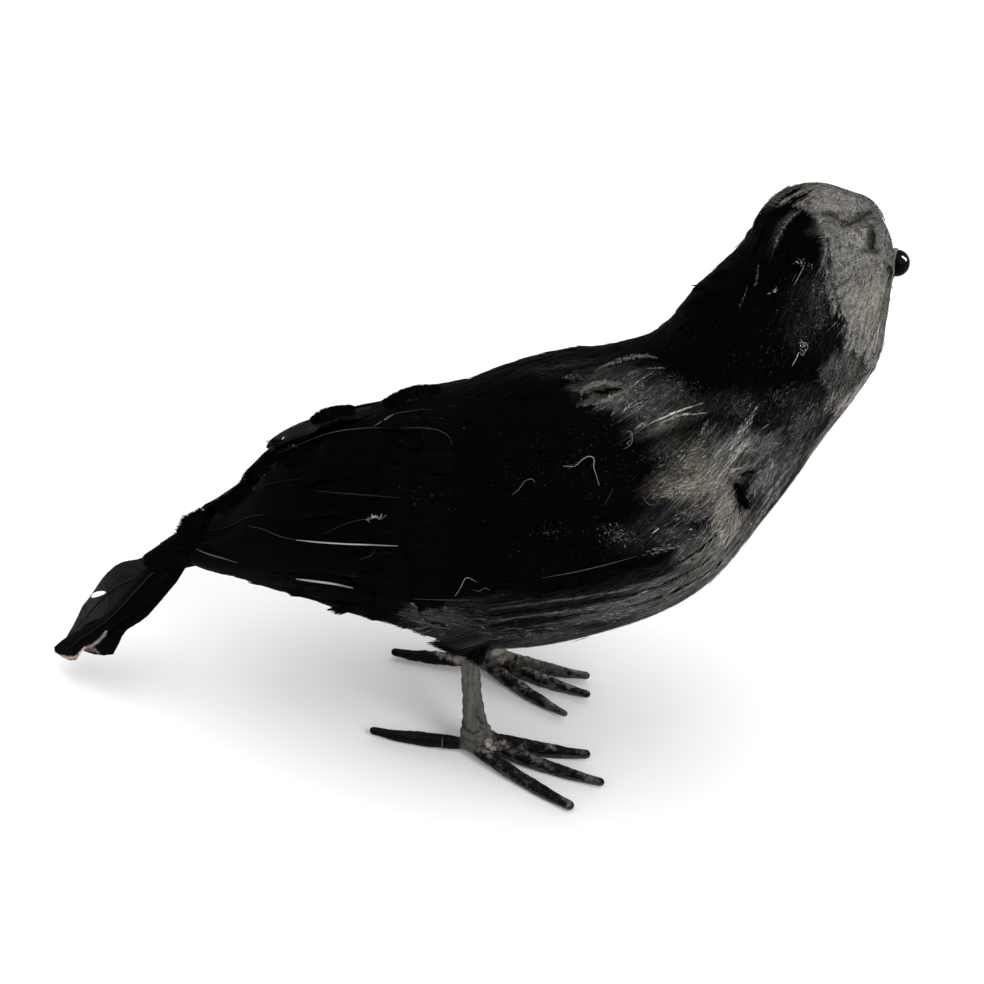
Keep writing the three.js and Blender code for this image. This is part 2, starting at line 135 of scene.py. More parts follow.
def noise2(x, y, seed=0):
    x, y = np.broadcast_arrays(np.asarray(x, float), np.asarray(y, float))
    return noise3(np.stack([x, y, np.zeros_like(x)], -1), seed)

# --------------------------------------------------------------------------
# The body's surface, as the CAD has it
# --------------------------------------------------------------------------
SP = np.array(
    [  # x, y, z, back, belly, right, left
        (-89, 0, 57.5, 6.5, 6.0, 7.0, 7.0),
        (-80, 0, 59.5, 10.5, 10.0, 11.5, 12.0),
        (-64, 0, 64.5, 18.0, 18.5, 20.0, 21.0),
        (-46, 0, 70.5, 26.0, 27.5, 28.5, 29.5),
        (-22, 0, 74.8, 34.0, 35.5, 35.5, 37.0),
        (3, 0, 77.5, 39.6, 41.8, 41.8, 41.4),
        (26, 0, 85.0, 42.0, 42.2, 42.7, 43.5),
        (46, 0, 95.5, 39.3, 40.3, 41.3, 41.5),
        (62, 0, 109.5, 33.3, 32.6, 32.6, 34.2),
        (74, 0, 125.5, 28.0, 28.2, 27.6, 27.8),
        (84, 0.5, 143.5, 26.9, 27.2, 26.0, 27.0),
        (90.6, 2, 159.5, 21.8, 24.0, 22.0, 25.0),
        (93.6, 3, 169.0, 20.0, 21.6, 20.2, 23.8),
    ],
    float,
)
LAST = len(SP) - 1
CROWN_RISE, CROWN_SET = 18.6, 1.2
HEAD = np.array([94, 3.5, 166.0])
LOOK_AZ, LOOK_DOWN = math.radians(76), math.radians(27)
LOOK = np.array(
    [
        math.cos(LOOK_AZ) * math.cos(LOOK_DOWN),
        math.sin(LOOK_AZ) * math.cos(LOOK_DOWN),
        -math.sin(LOOK_DOWN),
    ]
)
HEAD_UP = unit(np.array([0, 0, 1.0]) - LOOK * LOOK[2])
HEAD_SIDE = np.cross(LOOK, HEAD_UP)
FACE = dict(length=33.0, high=18.8, wide=19.5, rise=2.0)


def station(s):
    s = np.clip(np.asarray(s, float), 0, LAST)
    i = np.minimum(np.floor(s).astype(int), LAST - 1)
    t = (s - i)[..., None]
    p0, p1, p2 = SP[np.maximum(i - 1, 0)], SP[i], SP[i + 1]
    p3 = SP[np.minimum(i + 2, LAST)]
    m1, m2 = (p2 - p0) / 2, (p3 - p1) / 2
    level = np.ones_like(m2)
    level[..., 3:] = np.where((i == LAST - 1)[..., None], 0.0, 1.0)
    m2 = m2 * level
    t2, t3 = t * t, t * t * t
    return (
        (2 * t3 - 3 * t2 + 1) * p1
        + (t3 - 2 * t2 + t) * m1
        + (-2 * t3 + 3 * t2) * p2
        + (t3 - t2) * m2
    )


def axes(s):
    s = np.clip(s, 0, LAST)
    along = unit(
        station(np.minimum(s + 0.05, LAST))[..., :3]
        - station(np.maximum(s - 0.05, 0))[..., :3]
    )
    left = unit(np.array([0, 1.0, 0]) - along * along[..., 1:2])
    return along, left, unit(np.cross(along, left))


def surf(s, a, h=0.0, recess=True):
    """A point of the skin: s along the spine (past the last station up over the
    crown), a round it from the bird's left over its back, h mm out of it."""
    s, a, h = np.broadcast_arrays(
        np.asarray(s, float), np.asarray(a, float), np.asarray(h, float)
    )
    c = station(s)
    along, left, bk = axes(s)
    u = np.clip(s - LAST, 0, 1) * (math.pi / 2)
    v = np.clip(-s, 0, 1)
    shrink = np.cos(u) * np.sqrt(np.maximum(1 - v * v, 0))
    ahead = (CROWN_RISE + h) * np.sin(u) - (4.5 + h) * v
    ca, sa = np.cos(a), np.sin(a)
    inward = 0.0
    if recess:
        up = np.degrees(np.arcsin(np.clip(sa, -1, 1)))
        inward = 3.9 * (1 - sm(3.84, 4.02, s)) * sm(-30, -14, up) * sm(0, 0.7, s)
    chin = (a - 4.72 + math.pi) % (2 * math.pi) - math.pi
    chin = 1.9 * np.exp(-(((s - 10.45) / 0.5) ** 2) - (chin / 0.6) ** 2)
    crest = (a - 5.2 + math.pi) % (2 * math.pi) - math.pi
    crest = (
        1.5 * np.exp(-(((s - 12.66) / 0.23) ** 2)) - 0.75 * np.exp(-(((s - 12.29) / 0.14) ** 2))
    ) * np.exp(-((crest / 0.5) ** 2))
    grow = (h + chin + crest) * shrink - inward
    ahead = ahead + crest * np.sin(u)
    side = np.where(ca > 0, c[..., 6], c[..., 5]) * shrink + grow
    high = np.where(sa > 0, c[..., 3], c[..., 4]) * shrink + grow
    return (
        c[..., :3]
        + left * (side * ca)[..., None]
        + bk * (high * sa + CROWN_SET * np.sin(u))[..., None]
        + along * ahead[..., None]
    )


def metrics(s, a, recess=False):
    """How many mm one unit of s and one radian of a are, at (s, a)."""
    e = 0.02
    ds = np.linalg.norm(
        surf(s + e, a, recess=recess) - surf(s - e, a, recess=recess), axis=-1
    ) / (2 * e)
    da = np.linalg.norm(
        surf(s, a + e, recess=recess) - surf(s, a - e, recess=recess), axis=-1
    ) / (2 * e)
    return np.maximum(ds, 1.0), np.maximum(da, 1.0)


def normal_at(s, a):
    e = 0.02
    t1 = surf(s + e, a, recess=False) - surf(s - e, a, recess=False)
    t2 = surf(s, a + e, recess=False) - surf(s, a - e, recess=False)
    n = unit(np.cross(t2, t1))
    out = surf(s, a, 1.0, recess=False) - surf(s, a, 0.0, recess=False)
    return n * np.sign((n * out).sum(-1, keepdims=True) + 1e-9)


def face_point(T, G, h=0.0):
    r = np.power(np.maximum(0, 1 - np.power(T, 2.1)), 0.62)
    end = np.where(T < 0.999, 1.0, 0.05)
    return (
        HEAD
        + LOOK * ((FACE["length"] + h) * T)[..., None]
        + HEAD_UP
        * (FACE["rise"] * (1 - T) + (FACE["high"] * r + h) * np.sin(G) * end)[..., None]
        + HEAD_SIDE * ((FACE["wide"] * r + h) * np.cos(G) * end)[..., None]
    )

# --------------------------------------------------------------------------
# Tone: over the black plumage, grey patches of painted sheen, painted light and painted shade.
# Soft patches laid in the photograph's frame, on the side that it shows; the far side repeats
# them more plainly.
# --------------------------------------------------------------------------
def lin(c):
    c = np.asarray(c, float) / 255
    return np.where(c <= 0.04045, c / 12.92, ((c + 0.055) / 1.055) ** 2.4)


BLACK = lin((2.6, 2.6, 2.8))
# ("e", x, y, half width, half height, turn, (tone), edge, strength)
# ("p", outline, (tone), edge, strength)   ("s", line, half width, (tone), edge, strength)
SHEEN_AND_SHADE_PATCHES = [
    # belly and flank: painted light reflected up from the floor onto the underside
    ("p", [(392, 622), (425, 660), (500, 660), (560, 650), (630, 640), (700, 610),
           (745, 565), (705, 545), (650, 570), (600, 588), (540, 600), (480, 604),
           (430, 602)], (24, 24, 24), 8, 1.0),
    ("e", 500, 602, 40, 8, -3, (23, 23, 23), 6, 1.0),
    ("e", 428, 622, 27, 13, 12, (92, 92, 92), 6, 1.0),
    ("e", 470, 631, 24, 8, 4, (56, 56, 56), 6, 0.9),
    ("e", 602, 609, 38, 9, -14, (58, 58, 58), 6, 1.0),
    ("e", 648, 598, 36, 12, -24, (92, 92, 91), 7, 1.0),
    ("e", 688, 582, 26, 13, -38, (46, 46, 45), 7, 1.0),
    ("e", 722, 555, 25, 12, -52, (108, 106, 99), 7, 1.0),
    ("e", 700, 547, 24, 10, -40, (80, 79, 77), 7, 1.0),
    # breast: painted sheen, with painted shade in the gap at its edge
    ("e", 668, 524, 30, 20, -30, (30, 30, 33), 12, 0.9),
    ("e", 640, 536, 26, 14, -10, (20, 20, 21), 10, 0.8),
    ("e", 706, 476, 34, 28, -24, (88, 85, 78), 11, 1.0),
    ("e", 672, 482, 22, 12, -20, (71, 68, 64), 9, 0.8),
    ("s", [(712, 470), (724, 500), (736, 528)], 11, (116, 114, 105), 7, 1.0),
    ("s", [(742, 524), (726, 550), (700, 576), (664, 598)], 12, (85, 83, 78), 9, 1.0),
    ("e", 700, 552, 18, 14, -40, (84, 84, 82), 10, 0.8),
    ("s", [(700, 452), (730, 450), (756, 444)], 9, (84, 83, 81), 7, 1.0),
    ("s", [(752, 462), (764, 452), (778, 442)], 8, (84, 83, 82), 6, 0.9),
    ("e", 742, 434, 9, 8, 0, (69, 67, 66), 6, 0.8),
    ("e", 774, 478, 16, 28, 38, (64, 63, 63), 8, 1.0),
    ("e", 776, 450, 14, 10, 0, (50, 50, 50), 7, 0.9),
    ("e", 806, 446, 12, 24, 40, (42, 41, 41), 8, 0.9),
    ("e", 786, 424, 22, 12, 0, (23, 23, 23), 8, 0.8),
    ("e", 708, 436, 16, 9, -30, (55, 55, 53), 7, 0.8),
    ("e", 722, 428, 9, 7, -30, (25, 25, 25), 5, 0.8),
    ("e", 741, 494, 5.5, 13, 14, (3, 3, 3), 3.0, 1.0),
    ("e", 738, 471, 5, 8, 50, (29, 29, 29), 3, 0.8),
    # shoulder: painted sheen round a hollow painted dark as shade
    ("e", 560, 368, 40, 6, -8, (23, 23, 23), 6, 0.9),
    ("e", 606, 386, 30, 16, -4, (46, 45, 43), 8, 0.9),
    ("e", 630, 380, 26, 12, -14, (49, 49, 48), 7, 0.9),
    ("e", 624, 400, 22, 11, -14, (76, 74, 72), 7, 0.9),
    ("e", 652, 402, 26, 14, -18, (60, 60, 59), 8, 0.9),
    ("e", 668, 418, 30, 10, -20, (66, 65, 62), 7, 0.9),
    ("e", 690, 408, 16, 8, -20, (41, 40, 39), 7, 0.8),
    ("e", 606, 391, 10, 3.4, -6, (10, 10, 10), 3, 0.9),
    ("e", 672, 446, 16, 9, -20, (43, 42, 40), 8, 0.8),
    # lower neck: painted sheen and shade
    ("e", 738, 404, 30, 12, 6, (22, 22, 22), 10, 0.8),
    ("e", 812, 412, 22, 26, -40, (29, 28, 29), 9, 0.8),
    ("e", 802, 318, 16, 30, 0, (16, 16, 16), 9, 0.9),
    ("e", 814, 302, 11, 26, -6, (26, 26, 26), 7, 0.8),
    ("e", 832, 404, 8, 16, 30, (46, 45, 43), 6, 0.9),
    # the rim that runs down the throat and breast: a painted rim of light
    ("s", [(893, 330), (880, 356), (864, 380), (846, 412)], 10, (134, 132, 125), 4, 1.0),
    ("s", [(846, 412), (833, 430), (803, 466)], 5, (106, 102, 94), 4, 1.0),
    ("s", [(803, 466), (776, 503), (756, 530)], 6, (48, 46, 45), 4, 1.0),
    ("s", [(756, 530), (735, 556), (707, 583)], 5, (112, 110, 103), 4, 0.9),
    ("s", [(707, 583), (670, 607), (627, 626), (560, 636), (500, 650)], 4, (66, 65, 64), 4, 0.9),
    # the grey head: painted sheen on the side turned to the light, with painted shade in its creases
    ("p", [(792, 168), (798, 190), (797, 203), (808, 212), (820, 222), (824, 236),
           (827, 252), (826, 268), (830, 284), (833, 299), (833, 313), (838, 322),
           (846, 335), (844, 347), (846, 355), (860, 360), (868, 374), (890, 372), (925, 300),
           (925, 262), (915, 200), (880, 165)], (114, 112, 108), 4.5, 1.0),
    ("e", 866, 303, 20, 34, 0, (122, 119, 112), 12, 1.0),
    ("e", 831, 216, 8, 3.4, 12, (54, 53, 51), 2.5, 0.85),
    ("e", 849, 225, 9, 3.2, -8, (50, 49, 47), 2.5, 0.85),
    ("e", 858, 219.5, 9, 2.8, -18, (56, 55, 53), 2.5, 0.8),
    ("e", 852, 272, 14, 14, 0, (108, 106, 102), 10, 0.8),
    ("e", 850, 225, 27, 6, -8, (78, 77, 75), 5, 0.9),
    ("e", 836, 238, 10, 7, 0, (92, 90, 88), 5, 0.8),
    ("e", 868, 249, 14, 5, -10, (84, 83, 81), 4, 0.8),
    ("e", 872, 241, 5, 9, 12, (46, 45, 43), 4, 0.9),
    ("e", 889.5, 272, 2.6, 5.5, 0, (16, 16, 16), 2, 0.95),
    ("e", 875, 356, 3, 4, 0, (60, 60, 60), 2, 0.8),
    ("s", [(886, 262), (888, 290), (885, 312)], 1.2, (60, 59, 57), 2, 0.8),
    ("p", [(760, 208), (768, 194), (786, 182), (801, 184), (812, 208), (800, 204),
           (786, 203), (772, 206)], (58, 56, 53), 5, 1.0),
    ("s", [(768, 205), (778, 196), (792, 189)], 1.5, (12, 12, 12), 2, 0.9),
    ("s", [(778, 207), (788, 199), (800, 194)], 1.3, (16, 16, 16), 2, 0.8),
    ("s", [(790, 206), (797, 200), (806, 197)], 1.0, (26, 26, 26), 2, 0.7),
    ("e", 804, 208, 8, 3.0, 30, (92, 88, 81), 3, 0.8),
    ("s", [(816, 214), (828, 217), (842, 214)], 1.8, (52, 51, 49), 3, 0.8),
    ("s", [(826, 222), (840, 224), (858, 219), (872, 212)], 1.8, (58, 57, 55), 3, 0.8),
    ("s", [(842, 228), (856, 224), (870, 217)], 1.2, (44, 43, 42), 2, 0.7),
    ("s", [(832, 232), (846, 230), (862, 229)], 1.4, (80, 78, 76), 3, 0.7),
    ("s", [(862, 252), (872, 250), (880, 247)], 1.4, (64, 62, 60), 3, 0.8),
    ("s", [(873.5, 231), (874.5, 238), (873.5, 246)], 1.9, (24, 24, 23), 2.4, 0.95),
    ("s", [(880, 250), (884, 262), (886, 276)], 1.0, (86, 84, 80), 2, 0.8),
    ("s", [(832, 262), (844, 266), (852, 262)], 1.2, (84, 83, 80), 2, 0.7),
    ("s", [(838, 276), (848, 282), (856, 290)], 1.0, (92, 90, 86), 2, 0.6),
    ("s", [(845, 300), (850, 312), (858, 324)], 1.4, (90, 88, 85), 2, 0.7),
    ("s", [(884, 300), (880, 318), (872, 336)], 1.4, (86, 85, 80), 2, 0.7),
    ("s", [(890, 292), (886, 312), (880, 332)], 1.0, (70, 69, 66), 2, 0.7),
    ("s", [(793, 215), (781, 226), (774, 243)], 1.6, (62, 61, 60), 3, 0.9),
    ("p", [(819, 370), (823, 363), (837, 354), (855, 352), (868, 360), (865, 376),
           (853, 389), (841, 402), (832, 398), (826, 388), (822, 379)], (60, 59, 58), 3.0, 1.0),
    ("s", [(846, 334), (856, 341), (867, 343)], 1.6, (40, 40, 39), 2, 0.8),
    ("s", [(828, 392), (838, 394), (848, 390)], 1.6, (34, 34, 34), 2, 0.6),
    ("s", [(857, 352), (864, 362), (863, 376)], 2.0, (26, 26, 26), 2, 0.8),
    ("e", 848, 372, 9, 8, -40, (88, 86, 84), 5, 0.7),
    ("p", [(824, 334), (834, 327), (843, 332), (845, 340), (838, 347), (830, 353), (822, 360),
           (812, 356), (816, 342)], (10, 10, 10), 3, 0.95),
]
# the grey cap is painted sheen
HEAD_EDGE = unit(np.array([0.813, 0.569, -0.119]))  # across the edge of the grey cap
HEAD_EDGE_AT = np.array([95, -13.6, 179.6])


def seg_distance(x, y, line):
    best = np.full(x.shape, 1e9)
    for (x0, y0), (x1, y1) in zip(line[:-1], line[1:]):
        dx, dy = x1 - x0, y1 - y0
        t = np.clip(((x - x0) * dx + (y - y0) * dy) / (dx * dx + dy * dy), 0, 1)
        best = np.minimum(best, np.hypot(x - x0 - t * dx, y - y0 - t * dy))
    return best


def inside(x, y, ring):
    odd = np.zeros(x.shape, bool)
    for (x0, y0), (x1, y1) in zip(ring, ring[1:] + ring[:1]):
        if y0 == y1:
            continue
        hit = ((y0 > y) != (y1 > y)) & (x < (x1 - x0) * (y - y0) / (y1 - y0) + x0)
        odd ^= hit
    return odd


# the patches' painted sheen, light and shade over the black, on the side that faces the camera
def shown_sheen_and_shade(p):
    x, y = place(p)
    w1 = noise3(p * 0.16, 3)
    w2 = noise3(p * 0.16 + 31.7, 4)
    w3 = noise3(p * 0.5, 5)
    x = x + 3.2 * w1 + 1.6 * w3
    y = y + 3.2 * w2 - 1.6 * w3
    out = np.broadcast_to(BLACK, p.shape).copy()
    for item in SHEEN_AND_SHADE_PATCHES:
        if item[0] == "e":
            _, cx, cy, rx, ry, turn, tone, edge, k = item
            c, s = math.cos(math.radians(turn)), math.sin(math.radians(turn))
            u, v = (x - cx) * c + (y - cy) * s, -(x - cx) * s + (y - cy) * c
            d = (np.sqrt((u / rx) ** 2 + (v / ry) ** 2) - 1) * min(rx, ry)
        elif item[0] == "p":
            _, ring, tone, edge, k = item
            d = seg_distance(x, y, ring + ring[:1])
            d = np.where(inside(x, y, ring), -d, d)
        else:
            _, line, half, tone, edge, k = item
            d = seg_distance(x, y, line) - half
        w = (k * (1 - sm(-edge, edge, d)))[..., None]
        out = out * (1 - w) + lin(tone) * w
    return out


def mottle(p):
    """Soft smudges in the grey of the head, a factor near 1."""
    k = 0.16 * noise3(p * np.array([0.13, 0.13, 0.2]), 77) + 0.17 * noise3(p * np.array([0.3, 0.3, 0.45]), 75)
    return np.exp(k + 0.22 * noise3(p * 0.8, 76))


def hidden_sheen(p, n):
    """The sides that the photograph doesn't show: painted light where they face forward and where they face down, and a
    grey cap of painted sheen.
    """
    z, nx, nz = p[..., 2], n[..., 0], n[..., 2]
    cap = sm(-9, -1, (p - HEAD_EDGE_AT) @ HEAD_EDGE + 3 * noise3(p * 0.2, 8))
    cap = cap * sm(136, 150, z + 4 * noise3(p * 0.15, 9))
    front = sm(0.2, 0.9, nx) * (1 - sm(140, 150, z)) * sm(60, 90, z)
    low = sm(0.0, 0.8, -nz) * (1 - sm(100, 130, z))
    k = np.maximum(front * 0.5, low * 0.4) * (0.7 + 0.5 * noise3(p * 0.12, 10))
    out = BLACK + np.clip(k, 0, 1)[..., None] * lin((84, 82, 78))
    cap = cap[..., None]
    return out * (1 - cap) + lin((114, 112, 107)) * cap


def tone_and_sheen_at(p, n):
    """The plumage's colour at points p with outward directions n: its black with painted sheen, light and shade."""
    p = np.asarray(p, float)
    seen = sm(-0.25, -0.04, n @ V_BACK)
    mp = p * np.array([1, -1, 1.0])
    mn = n * np.array([1, -1, 1.0])
    other = sm(-0.15, 0.1, mn @ V_BACK) * (1 - sm(135, 150, p[..., 2])) * 0.8
    other = other * (0.25 + 0.75 * sm(-14, 8, p[..., 0]))
    base = hidden_sheen(p, n)
    base = base * (1 - other[..., None]) + shown_sheen_and_shade(mp) * other[..., None]
    seen = seen[..., None]
    return base * (1 - seen) + shown_sheen_and_shade(p) * seen

# --------------------------------------------------------------------------
# Mesh helpers
# --------------------------------------------------------------------------
BUILT = []  # (points, faces) of what is built so far, for what lies on it


def mesh_piece(name, verts, faces, tone=None, uv=None, material=None, solid=True):
    """verts in mm; faces an (n, 3 or 4) array; tone and uv one row a vertex."""
    verts = np.asarray(verts, float).reshape(-1, 3)
    faces = np.asarray(faces, int)
    n, k = faces.shape
    me = bpy.data.meshes.new(name)
    me.vertices.add(len(verts))
    me.vertices.foreach_set("co", ((verts + SHIFT) * MM).astype(np.float32).ravel())
    me.loops.add(n * k)
    me.loops.foreach_set("vertex_index", faces.astype(np.int32).ravel())
    me.polygons.add(n)
    me.polygons.foreach_set("loop_start", (np.arange(n) * k).astype(np.int32))
    me.polygons.foreach_set("loop_total", np.full(n, k, np.int32))
    me.polygons.foreach_set("use_smooth", np.full(n, True, bool))
    if tone is not None:
        layer = me.color_attributes.new("tone", "FLOAT_COLOR", "POINT")
        rgba = np.ones((len(verts), 4), np.float32)
        rgba[:, :3] = np.clip(np.asarray(tone, float).reshape(-1, 3), 0, 1)
        layer.data.foreach_set("color", rgba.ravel())
    if uv is not None:
        layer = me.uv_layers.new(name="vane")
        uvv = np.asarray(uv, float).reshape(-1, 2)[faces.ravel()]
        layer.data.foreach_set("uv", uvv.astype(np.float32).ravel())
    me.update()
    me.validate()
    o = bpy.data.objects.new(name, me)
    bpy.context.scene.collection.objects.link(o)
    if material:
        me.materials.append(material)
    if solid:
        BUILT.append((verts, faces))
    return o


def strip_faces(count, k, width=2):
    """Faces of count separate strips, each k rows of width points."""
    base = np.arange(count)[:, None, None] * (k * width)
    r = np.arange(k - 1)[None, :, None] * width
    c = np.arange(width - 1)[None, None, :]
    a = base + r + c
    return np.stack([a, a + 1, a + width + 1, a + width], -1).reshape(-1, 4)


def ring_faces(rows, n, start=0):
    """Faces of a tube of rows rings of n points."""
    i, j = np.meshgrid(np.arange(rows - 1), np.arange(n), indexing="ij")
    return start + np.stack(
        [i * n + j, i * n + (j + 1) % n, (i + 1) * n + (j + 1) % n, (i + 1) * n + j],
        -1,
    ).reshape(-1, 4)


def thread(points, radius, sides=4):
    """A tube along points, radius one value a point; its ends are left open."""
    p = np.asarray(points, float)
    r = np.broadcast_to(np.asarray(radius, float), len(p))
    t = unit(np.gradient(p, axis=0))
    ref = np.array([0.3, 0.2, 0.93])
    n1 = unit(np.cross(t, ref))
    n2 = np.cross(t, n1)
    g = np.arange(sides) / sides * TAU
    ring = (
        p[:, None]
        + r[:, None, None]
        * (np.cos(g)[None, :, None] * n1[:, None] + np.sin(g)[None, :, None] * n2[:, None])
    )
    return ring.reshape(-1, 3), ring_faces(len(p), sides)


class Gather:
    """Collects points, faces and tones into one piece."""

    def __init__(self):
        self.v, self.f, self.c, self.n = [], [], [], 0

    def add(self, v, f, tone):
        v = np.asarray(v, float).reshape(-1, 3)
        tone = np.broadcast_to(np.asarray(tone, float), (len(v), 3))
        self.v.append(v)
        self.f.append(np.asarray(f, int) + self.n)
        self.c.append(tone)
        self.n += len(v)

    def piece(self, name, material, **kw):
        return mesh_piece(
            name,
            np.concatenate(self.v),
            np.concatenate(self.f),
            tone=np.concatenate(self.c),
            material=material,
            **kw,
        )


def own(o, replaced=()):
    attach(o, "root")
    if replaced:
        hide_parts(*replaced)
    return o

# --------------------------------------------------------------------------
# Materials
# --------------------------------------------------------------------------
def new_material(name):
    m = bpy.data.materials.new(name)
    m.use_nodes = True
    nt = m.node_tree
    nt.nodes.clear()
    out = nt.nodes.new("ShaderNodeOutputMaterial")
    bsdf = nt.nodes.new("ShaderNodeBsdfPrincipled")
    nt.links.new(bsdf.outputs[0], out.inputs[0])
    return m, nt, bsdf


def node(nt, kind, **sets):
    n = nt.nodes.new(kind)
    for k, v in sets.items():
        if k in n.inputs:
            n.inputs[k].default_value = v
        else:
            setattr(n, k, v)
    return n


def ramp(nt, source, stops):
    n = nt.nodes.new("ShaderNodeValToRGB")
    els = n.color_ramp.elements
    while len(els) < len(stops):
        els.new(0.5)
    for e, (at, col) in zip(els, stops):
        e.position = at
        e.color = (col, col, col, 1) if isinstance(col, (int, float)) else (*col, 1)
    nt.links.new(source, n.inputs[0])
    return n


def maths(nt, op, a, b=None, c=None):
    n = node(nt, "ShaderNodeMath", operation=op)
    for i, x in enumerate((a, b, c)):
        if x is None:
            continue
        if isinstance(x, (int, float)):
            n.inputs[i].default_value = x
        else:
            nt.links.new(x, n.inputs[i])
    return n.outputs[0]


def times(nt, a, b):
    mix = node(nt, "ShaderNodeMix", data_type="RGBA", blend_type="MULTIPLY")
    mix.inputs[0].default_value = 1.0
    nt.links.new(a, mix.inputs[6])
    nt.links.new(b, mix.inputs[7])
    return mix.outputs[2]


def tone_material(
    name, rough, specular, grain=900.0, spread=(0.62, 1.35), bump=0.35, barbs=0.0
):
    """Colour from the mesh's own tone, with grain; optionally ribbed like a vane."""
    m, nt, bsdf = new_material(name)
    tone = node(nt, "ShaderNodeAttribute", attribute_name="tone")
    coord = node(nt, "ShaderNodeTexCoord")
    noise = node(nt, "ShaderNodeTexNoise", Scale=grain, Detail=3.0)
    nt.links.new(coord.outputs["Object"], noise.inputs["Vector"])
    shade = ramp(nt, noise.outputs["Fac"], [(0.25, spread[0]), (0.75, spread[1])])
    nt.links.new(
        times(nt, tone.outputs["Color"], shade.outputs["Color"]),
        bsdf.inputs["Base Color"],
    )
    rr = ramp(nt, noise.outputs["Fac"], [(0.2, rough - 0.08), (0.8, rough + 0.1)])
    nt.links.new(rr.outputs["Color"], bsdf.inputs["Roughness"])
    bsdf.inputs["Specular IOR Level"].default_value = specular
    if barbs:
        uv = node(nt, "ShaderNodeUVMap", uv_map="vane")
        sep = node(nt, "ShaderNodeSeparateXYZ")
        nt.links.new(uv.outputs["UV"], sep.inputs[0])
        wob = maths(nt, "MULTIPLY_ADD", noise.outputs["Fac"], 0.6, sep.outputs["Y"])
        wave = maths(nt, "SINE", maths(nt, "MULTIPLY", wob, barbs))
        b = node(nt, "ShaderNodeBump", Strength=bump, Distance=0.00012)
        nt.links.new(wave, b.inputs["Height"])
    else:
        fine = node(nt, "ShaderNodeTexNoise", Scale=2600.0, Detail=2.0)
        nt.links.new(coord.outputs["Object"], fine.inputs["Vector"])
        b = node(nt, "ShaderNodeBump", Strength=bump, Distance=0.0001)
        nt.links.new(fine.outputs["Fac"], b.inputs["Height"])
    nt.links.new(b.outputs[0], bsdf.inputs["Normal"])
    return m


M_PLUME = tone_material("plumage", 0.65, 0.008, grain=1300.0, spread=(0.5, 1.5))
M_VELVET = tone_material("velvet", 0.85, 0.02, grain=700.0, spread=(0.66, 1.32))
M_VANE = tone_material("long_feathers", 0.46, 0.008, barbs=11.0, bump=0.12)
M_SHAFT = tone_material("shafts", 0.35, 0.05, grain=500.0, spread=(0.7, 1.2))
M_SKIN = tone_material("under_plumage", 0.85, 0.01)
# this material also carries the fine down in painted sheen and the painted glints on feather edges and shafts
M_LINT_AND_GLINTS = tone_material("lint_and_glints", 0.9, 0.1, grain=1500.0, spread=(0.8, 1.1))

# --------------------------------------------------------------------------
# The formed body under the feathers, and the face that narrows to the bill
# --------------------------------------------------------------------------
NA = 96
ss = np.concatenate(
    [
        np.linspace(-0.98, 0, 8)[:-1],
        np.linspace(0, LAST, 126),
        LAST + np.sin(np.linspace(0, 1, 20)[1:] * math.pi / 2) * 0.995,
    ]
)
S, A = np.meshgrid(ss, np.arange(NA) / NA * TAU, indexing="ij")
skin_v = surf(S, A, -1.0).reshape(-1, 3)
skin_n = normal_at(S, A).reshape(-1, 3)
under = tone_and_sheen_at(skin_v, skin_n)
# the skin under the plumage painted darker, as shade beneath the feathers; less so on the head
under = under * np.where(skin_v[:, 2:] > 150, 0.88 * mottle(skin_v)[:, None], 0.45)
own(
    mesh_piece("under_plumage", skin_v, ring_faces(len(ss), NA), tone=under, material=M_SKIN),
    replaced=("body",),
)

T, G = np.meshgrid(np.linspace(0, 1, 30), np.arange(64) / 64 * TAU, indexing="ij")
fp = face_point(T, G, -0.7)
fn = unit(face_point(T, G, 0.3) - fp)
face_v, face_n = fp.reshape(-1, 3), fn.reshape(-1, 3)
# the face's skin a little darker too, as painted shade beneath its velvet
own(
    mesh_piece(
        "under_face",
        face_v,
        ring_faces(30, 64),
        tone=tone_and_sheen_at(face_v, face_n) * 0.88 * mottle(face_v)[:, None],
        material=M_SKIN,
    ),
)


# --------------------------------------------------------------------------
# Contour feathers, built barb by barb
# --------------------------------------------------------------------------
def streaks(s, a, seed, across=1.3, along=16.0):
    """-1 to 1, in long streaks that run with the feathers."""
    ds, da = 17.0, 38.0
    return 0.65 * noise2(s * ds / along, a * da / across, seed) + 0.35 * noise2(
        s * ds / (along * 0.5), a * da / (across * 0.45), seed + 1
    )


